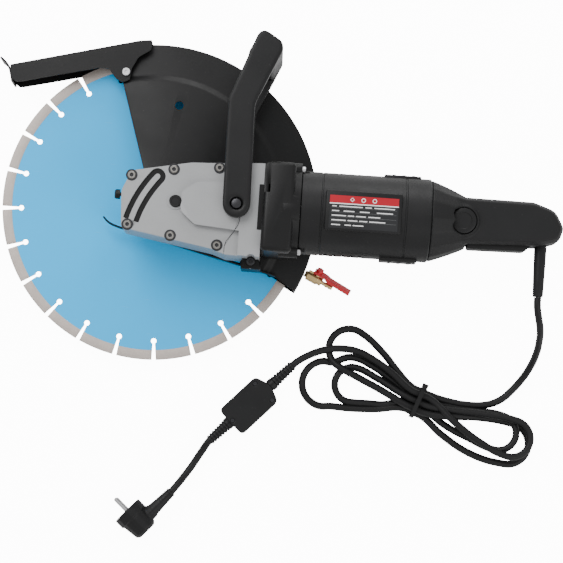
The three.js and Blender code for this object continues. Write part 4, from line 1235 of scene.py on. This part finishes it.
class GearHead:
    """The cast gear case, its cover and everything screwed to them."""

    cover_screws: Sequence[Flat] = ((-22, 23.6), (25, 33), (76, 38), (-23.1, -32.4), (25.7, -41.7),
            (78.6, -49.3))
    cover_seat: float = 0.1223

    @staticmethod
    def arc(near: float, far: float) -> list[Flat]:
        """A band beside the centre line of the cover's arc-shaped groove.

        Args:
            near: how far one side of the band lies from the line, in millimetres.
            far: how far the other side lies from it.

        Returns:
            The band's corners.
        """
        start, bend, end = Vector((7, 24)), Vector((-12, 1)), Vector((-19.5, -27))
        steps = [k / 12 for k in range(13)]
        line = [(1 - t) ** 2 * start + 2 * t * (1 - t) * bend + t * t * end for t in steps]
        sides = []
        for offset in (near, far):
            side = []
            for k, p in enumerate(line):
                ahead = (line[min(k + 1, 12)] - line[max(k - 1, 0)]).normalized()
                side.append(((p.x - ahead.y * offset) * MM, (p.y + ahead.x * offset) * MM))
            sides.append(side)
        return [*sides[0], *reversed(sides[1])]

    def castings(self, finishes: Finishes) -> None:
        """Rounds the edges of the case and the cover, and cuts the cover's arc-shaped groove.

        Args:
            finishes: the shared finishes.
        """
        for node in ("gear_case", "gear_cover"):
            piece = twin_of(node, node + "_casting")
            if node == "gear_cover":
                groove = slab("groove", self.arc(9.2, -9.2), 0.1216, 0.13)
                carve(groove, [drum("groove_end", 0.0092, 0.1216, 0.13, (0.007, 0.024, 0), sides=32)],
                        "UNION")
                carve(piece, [groove])
                strip = slab("strip", self.arc(3, -3), 0.1206, 0.1238)
                carve(piece, [strip, drum("strip_end", 0.003, 0.1206, 0.1238, (0.007, 0.024, 0), sides=24)],
                        "UNION")
            round_edges(piece, 0.0009, 2, 24)
            shade(piece, 40)
            modify(piece, "WEIGHTED_NORMAL", keep_sharp=True)
            fit(piece, Body.FRAME, finishes.cast)

    def painted_shade_and_seams(self, finishes: Finishes) -> None:
        """Lays painted shade: dark plates on the floor of the arc groove, dark rings in the screws' recesses
        and a dark strip over the notch in the neck; and the dark seam of the parting line.

        Args:
            finishes: the shared finishes.
        """
        # Painted shade: dark plates on the floor of the groove's two channels and its round end, where shade
        # falls.
        strips = [slab("groove_shade", self.arc(a, b), 0.12165, 0.1219) for a, b in ((9, 3.2), (-3.2, -9))]
        strips.append(drum("groove_shade", 0.0089, 0.12163, 0.12184, (0.007, 0.024, 0), sides=32))
        fit(merge("groove_shade", strips), Body.FRAME, finishes.paint)
        # Painted shade: dark rings lining each screw's recess round its head.
        rings = []
        for x, y in self.cover_screws:
            rings.append(lathe("recess_shade_ring", [(0.0047, 0.1221), (0.0047, 0.1242), (0.0066, 0.1242),
                    (0.0066, 0.1240),
                                               (0.0053, 0.1221), (0.0047, 0.1221)],
                               (x * MM, y * MM, 0), Axis.Z, 32))
        fit(merge("recess_shade_rings", rings), Body.FRAME, finishes.oxide)
        seam = [(0.0866, -0.0565), (0.0866, -0.05), (0.0885, -0.0435), (0.0935, -0.0365), (0.098, -0.0305)]
        upper = [(0.098, -0.0305), (0.1005, -0.026), (0.102, -0.0205), (0.1023, -0.015)]
        lines = [slab("parting_seal", [*line, *((x + 0.0006, y - 0.0003) for x, y in reversed(line))], low,
                low + 0.0007)
                 for line, low in ((seam, 0.1235), (upper, 0.1305))]
        fit(merge("parting_seal", lines), Body.FRAME, finishes.oxide)
        # Painted shade: a dark strip laid on the neck where the notch's shade shows; the notch itself is not
        # cut.
        notch = bar("notch_shade", (0.1221, -0.0295, 0.1309), (0.1271, 0.0217, 0.1313))
        fit(notch, Body.FRAME, finishes.paint)

    def fastenings(self, finishes: Finishes) -> None:
        """Screws down the cover and the clamp, paints the shade in the cover screws' sockets, and fits the
        oil plug, the clamp's seat and its block.

        Args:
            finishes: the shared finishes.
        """
        for i, (x, y) in enumerate(self.cover_screws):
            screw = cap_screw(f"cover_cap_screw_{i + 1}", (x * MM, y * MM, self.cover_seat), (0.0045, 0.004),
                              (0.0024, 0.014), 0.0025)
            fit(screw, Body.FRAME, finishes.screw, (f"cover_screw_{i + 1}",))
            # Painted shade: a dark hexagon on the floor of each cover screw's socket.
            socket_shadow(f"cover_socket_{i + 1}", (x * MM, y * MM, self.cover_seat), 0.0015, 0.0025,
                    Body.FRAME,
                          finishes.oxide)
        clamp = cap_screw("clamp_cap_screw", (0.1173, -0.0625, 0.0983), (0.0048, 0.005), (0.0023, 0.03),
                0.0027)
        fit(clamp, Body.FRAME, finishes.oxide, ("guard_clamp_screw",))
        plug = lathe("oil_plug_cap", [(0, 0.119), (0.0046, 0.119), (0.0046, 0.1243), (0.0068, 0.1243),
                (0.0068, 0.1266),
                                      (0.0063, 0.1272), (0.0047, 0.1272), (0.0044, 0.1267), (0, 0.1267)],
                     (0.0291, -0.0028, 0), Axis.Z, 48)
        shade(plug)
        fit(plug, Body.FRAME, finishes.plastic, ("oil_plug",))
        seat = bar("clamp_seat", (0.1075, -0.0705, 0.098), (0.1268, -0.0555, 0.09825))
        round_edges(seat, 0.0001)
        fit(seat, Body.FRAME, finishes.paint)
        block = twin_of("guard_clamp_block", "clamp_block_casting")
        round_edges(block, 0.0012)
        shade(block)
        fit(block, Body.FRAME, finishes.paint)

    def build(self, finishes: Finishes) -> None:
        """Builds the whole head.

        Args:
            finishes: the shared finishes.
        """
        self.castings(finishes)
        self.painted_shade_and_seams(finishes)
        self.fastenings(finishes)


# ---- Motor ----------------------------------------------------------------------------------------------


@dataclass(frozen=True)
class MotorSizes:
    """Sizes of the motor's collar and housing, in metres."""

    axis_y: float = -0.003
    axis_z: float = 0.095
    radius: float = 0.0473
    bore: float = 0.0439
    start: float = 0.1693
    end: float = 0.316
    screw_sides: Flat = (0.043, -0.049)
    screw_level: float = 0.112
    label: Point = (0.24, -0.0048, 0.1435)
    label_half: Flat = (0.0385, 0.0185)


class Motor:
    """The collar that bolts to the gear case, the round housing and its label."""

    def __init__(self, sizes: MotorSizes) -> None:
        """Keeps the sizes.

        Args:
            sizes: the sizes of the motor.
        """
        self.sizes = sizes
        self.centre: Point = (0, sizes.axis_y, sizes.axis_z)

    def collar(self, finishes: Finishes) -> None:
        """The square-shouldered collar with a round skirt.

        Args:
            finishes: the shared finishes.
        """
        s = self.sizes
        block = bar("collar_block", (0.1273, -0.0535, 0.0478), (0.162, 0.0475, 0.1448))
        round_edges(block, 0.005, 5)
        skirt = drum("collar_skirt", 0.05, 0.15, 0.169, self.centre, Axis.X, 96)
        lugs = [drum("collar_lug", 0.0078, 0.148, 0.169, (0, y, s.screw_level), Axis.X,
                32) for y in s.screw_sides]
        carve(block, [skirt, *lugs], "UNION")
        room = [bar("bail_room", (0.12, 0.012, low), (0.1345, 0.06, high))
                for low, high in ((0.1305, 0.15), (0.04, 0.0575))]
        bores = [drum("bore", 0.044, 0.1323, 0.17, self.centre, Axis.X, 64),
                 drum("bore", 0.0145, 0.12, 0.14, self.centre, Axis.X, 32)]
        holes = [drum("hole", 0.0023, 0.149, 0.17, (0, y, s.screw_level), Axis.X, 16) for y in s.screw_sides]
        carve(block, [*room, *bores, *holes])
        round_edges(block, 0.0006, 2, 50)
        shade(block)
        fit(block, Body.FRAME, finishes.paint, ("motor_collar",))
        for i, y in enumerate(s.screw_sides):
            screw = cap_screw(f"collar_cap_screw_{i + 1}", (s.start, y, s.screw_level), (0.0044, 0.0035),
                    (0.002, 0.018),
                              0.0022, Axis.X)
            fit(screw, Body.FRAME, finishes.steel, (f"collar_screw_{i + 1}",))

    def housing(self, finishes: Finishes) -> None:
        """The round moulding, with its label pad, side pads and vents.

        Args:
            finishes: the shared finishes.
        """
        s = self.sizes
        r = s.radius
        profile = [(s.bore, s.start), (r - 0.001, s.start), (r, s.start + 0.001), (r, 0.192),
                (r - 0.0006, 0.1926),
                   (r - 0.0006, 0.1938), (r, 0.1944), (r, 0.2865), (r - 0.0006, 0.287), (r - 0.0006, 0.2884),
                   (r, 0.289), (r, s.end - 0.0012), (r - 0.0012, s.end), (0.013, s.end), (0.013,
                           s.end - 0.006),
                   (s.bore, s.end - 0.006), (s.bore, s.start)]
        shell = lathe("housing_shell", profile, self.centre, Axis.X, 96)
        pads = [bar("label_pad", (0.197, s.axis_y - 0.0225, 0.138), (0.2825, s.axis_y + 0.0225, 0.1435)),
                bar("side_pad", (0.262, 0.0405, 0.083), (0.304, 0.0457, 0.107)),
                bar("side_pad", (0.262, -0.0527, 0.083), (0.304, -0.0465, 0.107))]
        for pad in pads:
            round_edges(pad, 0.0015, 3)
        ribs = [bar("rib", (0.308 - k * 0.011, y0, 0.086), (0.3045 - k * 0.011, y1, 0.104))
                for k in range(1, 4) for y0, y1 in ((0.0405, 0.0464), (-0.0533, -0.0465))]
        carve(shell, [*pads, *ribs], "UNION")
        slots = [bar("vent", (0.199 + k * 0.0098, y, 0.085), (0.2024 + k * 0.0098, y + 0.03, 0.105))
                 for k in range(5) for y in (0.034, -0.068)]
        seats = [drum("seat", 0.0054, 0.1683, 0.1773, (0, y, s.screw_level), Axis.X,
                24) for y in s.screw_sides]
        carve(shell, [*slots, *seats])
        shade(shell)
        fit(shell, Body.FRAME, finishes.plastic, ("motor_housing",))

    def label(self, finishes: Finishes) -> None:
        """The data label: a red header over a dark field, with plain marks and bars in place of words.

        Args:
            finishes: the shared finishes.
        """
        x, y, z = self.sizes.label
        w, h = self.sizes.label_half
        plate = bar("label_plate", (x - w, y - h, z - 0.0004), (x + w, y + h, z + 0.0003))
        round_edges(plate, 0.0002)
        fit(plate, Body.FRAME, finishes.label_dark)
        header = bar("label_header", (x - w, y + h - 0.0088, z), (x + w, y + h, z + 0.00045))
        fit(header, Body.FRAME, finishes.label_red)
        marks = [bar("label_line", (x - w, y + h - 0.0098, z), (x + w, y + h - 0.0086, z + 0.0005))]
        for k in (-1, 0, 1):
            at = (x - 0.001 + k * 0.0125, y + h - 0.0043, z)
            marks.append(lathe("label_mark", [(0.0016, 0.0003), (0.0016, 0.0006), (0.0025, 0.0006),
                    (0.0025, 0.0003),
                                              (0.0016, 0.0003)], at, Axis.Z, (4, 24, 32)[k + 1]))
        rows = (((0, 5), (8, 34), (37, 44), (47, 70)), ((0, 8), (13, 25), (31, 42), (50, 68)),
                ((0, 16), (18, 25), (27, 38), (41, 54)), ((0, 16), (18, 29), (31, 40), (42, 60)),
                ((0, 10), (15, 22), (24, 36)))
        for row, words in enumerate(rows):
            low = y + h - 0.0128 - row * 0.0052
            marks += [bar("label_bar", (x - w + (3 + a) * MM, low, z),
                    (x - w + (3 + b) * MM, low + 0.0011, z + 0.0005))
                      for a, b in words]
        fit(merge("label_marks", marks), Body.FRAME, finishes.label_ink)
        rules = [bar("label_rule", (x - w + 0.002, y + h - 0.0138 - k * 0.0052, z),
                     (x + w - 0.002, y + h - 0.0136 - k * 0.0052, z + 0.0004)) for k in range(4)]
        fit(merge("label_rules", rules), Body.FRAME, finishes.grey)

    def build(self, finishes: Finishes) -> None:
        """Builds the collar, the housing and the label.

        Args:
            finishes: the shared finishes.
        """
        self.collar(finishes)
        self.housing(finishes)
        self.label(finishes)


# ---- Guard ----------------------------------------------------------------------------------------------


@dataclass(frozen=True)
class GuardSizes:
    """Sizes of the pressed steel guard, in metres."""

    radius: float = 0.1905
    sheet: float = 0.002
    top: float = 0.036
    plateau_radius: float = 0.151
    plateau_top: float = 0.042
    collar: float = 0.033
    collar_top: float = 0.056
    collar_bore: float = 0.0275
    start: float = math.radians(-27.4)
    end: float = math.radians(107.8)
    plate_inner: float = 0.095
    hole: Flat = (0.0215, 0.1191)
    hole_radius: float = 0.0049
    pivot: Flat = (-0.0427, 0.154)


class Guard:
    """The pressed guard over the blade, its far plate, the tilting nose and the pivot screw."""

    def __init__(self, sizes: GuardSizes) -> None:
        """Keeps the sizes.

        Args:
            sizes: the sizes of the guard.
        """
        self.sizes = sizes

    @staticmethod
    def edge(x: float) -> float:
        """The height of the guard's straight lower edge at a place along it.

        Args:
            x: the distance along the saw in metres.

        Returns:
            The edge's distance from the spindle's level.
        """
        return -0.0346 - 0.241 * (x + 0.0135)

    def outline(self) -> list[Flat]:
        """The guard's outline from above.

        Returns:
            Its corners, anticlockwise.
        """
        s = self.sizes
        arc = [s.start + (s.end - s.start) * k / 110 for k in range(111)]
        points = [(s.radius * 1.02 * math.cos(a), s.radius * 1.02 * math.sin(a)) for a in arc]
        round_hub = [math.radians(110 + 105 * k / 24) for k in range(25)]
        points += [(s.collar * math.cos(a), s.collar * math.sin(a)) for a in round_hub]
        return [*points, (-0.026, self.edge(-0.026)), (0.146, self.edge(0.146))]

    def shell(self) -> bpy.types.Object:
        """Spins the shell's section and trims it to its outline.

        Returns:
            The shell.
        """
        s = self.sizes
        t = s.sheet
        section = [(s.radius, 0.0023), (s.radius, s.top - 0.0018), (s.radius - 0.0005, s.top - 0.0006),
                   (s.radius - 0.0018, s.top), (s.plateau_radius + 0.005, s.top),
                   (s.plateau_radius + 0.0015, s.top + 0.0012), (s.plateau_radius - 0.0015,
                           s.plateau_top - 0.0012),
                   (s.plateau_radius - 0.005, s.plateau_top), (s.collar + 0.004, s.plateau_top),
                   (s.collar + 0.001, s.plateau_top + 0.0012), (s.collar, s.plateau_top + 0.004),
                   (s.collar, s.collar_top), (s.collar_bore, s.collar_top), (s.collar_bore,
                           s.plateau_top - t),
                   (s.plateau_radius - 0.006, s.plateau_top - t), (s.plateau_radius - 0.002,
                           s.plateau_top - t - 0.001),
                   (s.plateau_radius + 0.001, s.top - t), (s.radius - t, s.top - t), (s.radius - t, 0.0023),
                   (s.radius, 0.0023)]
        shell = lathe("guard_shell", section, (0, 0, 0), Axis.Z, 240)
        keep = slab("keep", self.outline(), 0, 0.08)
        carve(shell, [keep], "INTERSECT")
        window = slab("window", [(0.03, -0.028), (0.03, self.edge(0.03) + 0.0032),
                                 (0.104, self.edge(0.104) + 0.0032), (0.104, -0.028)], -0.01, 0.09)
        carve(shell, [window, drum("hole", s.hole_radius, 0, 0.09, (*s.hole, 0), sides=32),
                      drum("pivot", 0.0028, 0, 0.09, (*s.pivot, 0), sides=16)])
        return shell

    def flange(self) -> bpy.types.Object:
        """The lip folded up along the lower edge.

        Returns:
            The lip.
        """
        t = self.sizes.sheet
        line = [(-0.0577, -0.0172), (-0.0553, -0.0198), (-0.053, -0.022), (-0.0498, -0.0243),
                (-0.046, -0.026),
                (-0.0395, -0.0281), (-0.0325, -0.0299)]
        line += [(x, self.edge(x)) for x in (-0.026, 0.02, 0.06, 0.1, 0.146)]
        back = []
        for k, p in enumerate(line):
            ahead = (Vector(line[min(k + 1, len(line) - 1)]) - Vector(line[max(k - 1, 0)])).normalized()
            back.append((p[0] - ahead.y * t, p[1] + ahead.x * t))
        lip = slab("guard_lip", [*line, *reversed(back)], 0.0355, 0.0465)
        round_edges(lip, 0.0006, 2, 40)
        shade(lip)
        return lip

    def far_plate(self) -> bpy.types.Object:
        """The flat ring sector behind the blade.

        Returns:
            The plate.
        """
        s = self.sizes
        arc = [s.start + (s.end - s.start) * k / 110 for k in range(111)]
        points = [(s.radius * math.cos(a), s.radius * math.sin(a)) for a in arc]
        points += [(s.plate_inner * math.cos(a), s.plate_inner * math.sin(a)) for a in reversed(arc)]
        plate = slab("guard_plate", points, 0, s.sheet)
        spigot = drum("spigot", 0.0026, s.sheet - 0.0005, s.sheet * 2 + 0.0024, (*s.pivot, 0), sides=24)
        carve(plate, [spigot], "UNION")
        shade(plate)
        return plate

    def build(self, finishes: Finishes) -> None:
        """Builds the shell, its lip, the far plate, the nose and its pivot screw.

        Args:
            finishes: the shared finishes.
        """
        shell = self.shell()
        shade(shell, 40)
        fit(shell, Body.GUARD, finishes.paint, ("blade_guard",))
        fit(self.flange(), Body.GUARD, finishes.paint)
        fit(self.far_plate(), Body.GUARD, finishes.paint, ("guard_far_plate",))
        nose = twin_of("nose_guard", "nose_pressing")
        round_edges(nose, 0.0008, 2, 28)
        shade(nose, 40)
        modify(nose, "WEIGHTED_NORMAL", keep_sharp=True)
        fit(nose, Body.NOSE, finishes.paint)
        head = self.sizes.plateau_top + 0.0028
        screw = cap_screw("pivot_cap_screw", (*self.sizes.pivot, head), (0.0047, 0.003),
                (0.0025, head - 0.03), 0.0022)
        fit(screw, Body.GUARD, finishes.steel, ("nose_pivot_screw",))


# ---- Rear grip and bail handle --------------------------------------------------------------------------


class Handles:
    """The rear grip with its controls, and the bail handle over the gear case."""

    def grip(self, finishes: Finishes) -> None:
        """The two soft-edged grip shells, the lock button, the trigger and the cord's sleeve.

        Args:
            finishes: the shared finishes.
        """
        for node in ("grip_shell_near", "grip_shell_far"):
            shell = softened(node, node + "_moulding", 0.0011, 14)
            fit(shell, Body.FRAME, finishes.grip)
        button = lathe("lock_cap", [(0, 0.111), (0.0145, 0.111), (0.0145, 0.1231), (0.0141, 0.1239),
                (0.013, 0.1244),
                                    (0.0095, 0.1244), (0.0088, 0.1238), (0, 0.1238)], (0.3533, -0.003,
                                            0), Axis.Z, 64)
        shade(button)
        fit(button, Body.LOCK_BUTTON, finishes.plastic, ("lock_button",))
        paddle = twin_of("trigger", "trigger_paddle")
        round_edges(paddle, 0.0015, 3)
        shade(paddle)
        fit(paddle, Body.TRIGGER, finishes.grip)
        profile = [(0, -0.0194), (0.009, -0.0194), (0.009, -0.022), (0.0071, -0.022), (0.0071, -0.0275),
                   (0.0069, -0.04), (0.0065, -0.06), (0.006, -0.0785), (0.0054, -0.081), (0, -0.081)]
        sleeve = lathe("cord_sleeve", profile, (0.444, 0, 0.095), Axis.Y, 40)
        shade(sleeve)
        fit(sleeve, Body.FRAME, finishes.rubber, ("strain_relief",))

    def bail(self, finishes: Finishes) -> None:
        """The looped handle and its two bolts.

        Args:
            finishes: the shared finishes.
        """
        handle = softened("bail_handle", "bail_moulding", 0.0013, 12)
        fit(handle, Body.BAIL, finishes.plastic)
        for node in ("bail_bolt_near", "bail_bolt_far"):
            bolt = twin_of(node, node + "_forging")
            round_edges(bolt, 0.0004)
            shade(bolt)
            fit(bolt, Body.FRAME, finishes.oxide)

    def build(self, finishes: Finishes) -> None:
        """Builds both handles.

        Args:
            finishes: the shared finishes.
        """
        self.grip(finishes)
        self.bail(finishes)


# ---- Water valve ----------------------------------------------------------------------------------------


class Valve:
    """The brass water valve and its red lever."""

    def build(self, finishes: Finishes) -> None:
        """Builds the valve.

        Args:
            finishes: the shared finishes.
        """
        body = twin_of("water_valve", "valve_turning")
        round_edges(body, 0.0004, 2, 40)
        shade(body, 50)
        fit(body, Body.GUARD, finishes.brass)
        sleeve = lathe("valve_sleeve", [(0, 0.0035), (0.0058, 0.0035), (0.0064, 0.0042), (0.0064, 0.017),
                                        (0.0058, 0.0178), (0.0042, 0.0178), (0.0042, 0.021), (0, 0.021)],
                       (0, 0, 0), Axis.X, 40)
        turned = copies(sleeve, [Matrix.Translation((0.1798, -0.064, 0.019)) @ Matrix.Rotation(
            math.radians(-25), 4, "Z")])[0]
        discard(sleeve)
        turned.name = "valve_sleeve"
        shade(turned)
        fit(turned, Body.GUARD, finishes.brass)
        lever = twin_of("valve_lever", "valve_lever_dipped")
        modify(lever, "DISPLACE", strength=0.0009, mid_level=0)
        round_edges(lever, 0.0007, 3, 40)
        shade(lever, 50)
        fit(lever, Body.VALVE, finishes.red)


# ---- Residual current device and plug -------------------------------------------------------------------


class Electrics:
    """The protective box in the lead and the mains plug."""

    box_place: Matrix = Matrix.Translation((0.126, -0.222, 0)) @ Matrix.Rotation(math.radians(46.6), 4, "Z")
    box_top: float = 0.028
    plug_place: Matrix = Matrix.Translation((-0.0071, -0.3522,
            0.0189)) @ Matrix.Rotation(math.radians(138.5), 4, "Z")

    @staticmethod
    def boot(wall: float, tip: float, level: Point, axis: Axis, place: Matrix) -> bpy.types.Object:
        """A ribbed rubber boot where a cord enters its housing.

        Args:
            wall: where the boot starts along its axis.
            tip: where it ends.
            level: the point on its axis that distances count from.
            axis: the axis that it lies along.
            place: the matrix of its housing.

        Returns:
            The boot.
        """
        side = math.copysign(1, tip - wall)
        ribs = 7
        step = (abs(tip - wall) - 0.006) / ribs
        profile = [(0, wall), (0.0072, wall), (0.0072, wall + side * 0.0058), (0.006, wall + side * 0.006)]
        for k in range(ribs):
            start = 0.006 + k * step
            r = 0.0068 - k * 0.00018
            profile += [(r, wall + side * (start + step * 0.15)), (r, wall + side * (start + step * 0.7)),
                        (r - 0.0011, wall + side * (start + step * 0.8)), (r - 0.0011,
                                wall + side * (start + step))]
        profile.append((0, tip))
        local = lathe("boot", profile, level, axis, 32)
        made = copies(local, [place])[0]
        discard(local)
        made.name = "cord_boot"
        shade(made)
        return made

    def boots(self, finishes: Finishes) -> None:
        """The two boots of the box and the one of the plug.

        Args:
            finishes: the shared finishes.
        """
        for wall, tip, y in ((0.033, 0.0688, 0), (-0.029, -0.0622, 0.0013)):
            boot = self.boot(wall, tip, (0, y, 0.014), Axis.X, self.box_place)
            fit(boot, Body.FRAME, finishes.rubber)
        boot = self.boot(-0.019, -0.052, (-0.021, 0, 0), Axis.Y, self.plug_place)
        fit(boot, Body.FRAME, finishes.rubber)

    def box_screws(self, finishes: Finishes) -> None:
        """The three small screws in the lid of the box.

        Args:
            finishes: the shared finishes.
        """
        for i, (x, y) in enumerate(((0.0215, 0.0135), (0.023, -0.014), (-0.0265, 0))):
            local = cap_screw("screw", (x, y, self.box_top - 0.0014), (0.0024, 0.0012), (0.001, 0.004),
                    0.0011)
            screw = copies(local, [self.box_place])[0]
            discard(local)
            screw.name = f"box_screw_{i + 1}"
            shade(screw)
            fit(screw, Body.FRAME, finishes.oxide)

    def build(self, finishes: Finishes) -> list[bpy.types.Object]:
        """Builds the box and the plug.

        Args:
            finishes: the shared finishes.

        Returns:
            The box's base and cover, and the plug's body.
        """
        self.boots(finishes)
        self.box_screws(finishes)
        made = []
        for node, finish, slot in (("rcd_base", finishes.grey, "grey_plastic"),
                                   ("rcd_cover", finishes.plastic, "black_plastic"),
                                   ("plug_body", finishes.rubber, "rubber")):
            piece = softened(node, node + "_moulding", 0.0008, 5)
            made.append(fit(piece, Body.FRAME, finish))
        return made


SLOT_FINISH = {
    "cast_aluminium": "cast",
    "black_paint": "paint",
    "black_plastic": "plastic",
    "black_oxide": "oxide",
    "steel": "steel",
    "blade_blue": "lacquer",
    "brass": "brass",
    "red_dip": "red",
    "rubber": "rubber",
    "copper": "copper",
    "carbon": "carbon",
    "grey_plastic": "grey",
}


def main() -> None:
    """Builds every part of the saw in order, and reports each one."""
    logging.basicConfig(level=logging.INFO, format="%(message)s")
    finishes = Finishes()
    Studio().build(finishes)
    nodes = frame["nodes"]
    for entry in frame["record"]["subparts"]:
        dress(nodes[entry["node"]], getattr(finishes, SLOT_FINISH[entry["material_slot"]]))
    base, cover, plug = Electrics().build(finishes)
    MainsCord().build(finishes, [nodes["cable_tie"], base, cover],
            [plug, nodes["plug_pin_1"], nodes["plug_pin_2"]])
    Blade(BladeSizes()).build(finishes)
    GearHead().build(finishes)
    Motor(MotorSizes()).build(finishes)
    Guard(GuardSizes()).build(finishes)
    Handles().build(finishes)
    Valve().build(finishes)
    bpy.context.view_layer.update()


if __name__ == "__main__":
    main()
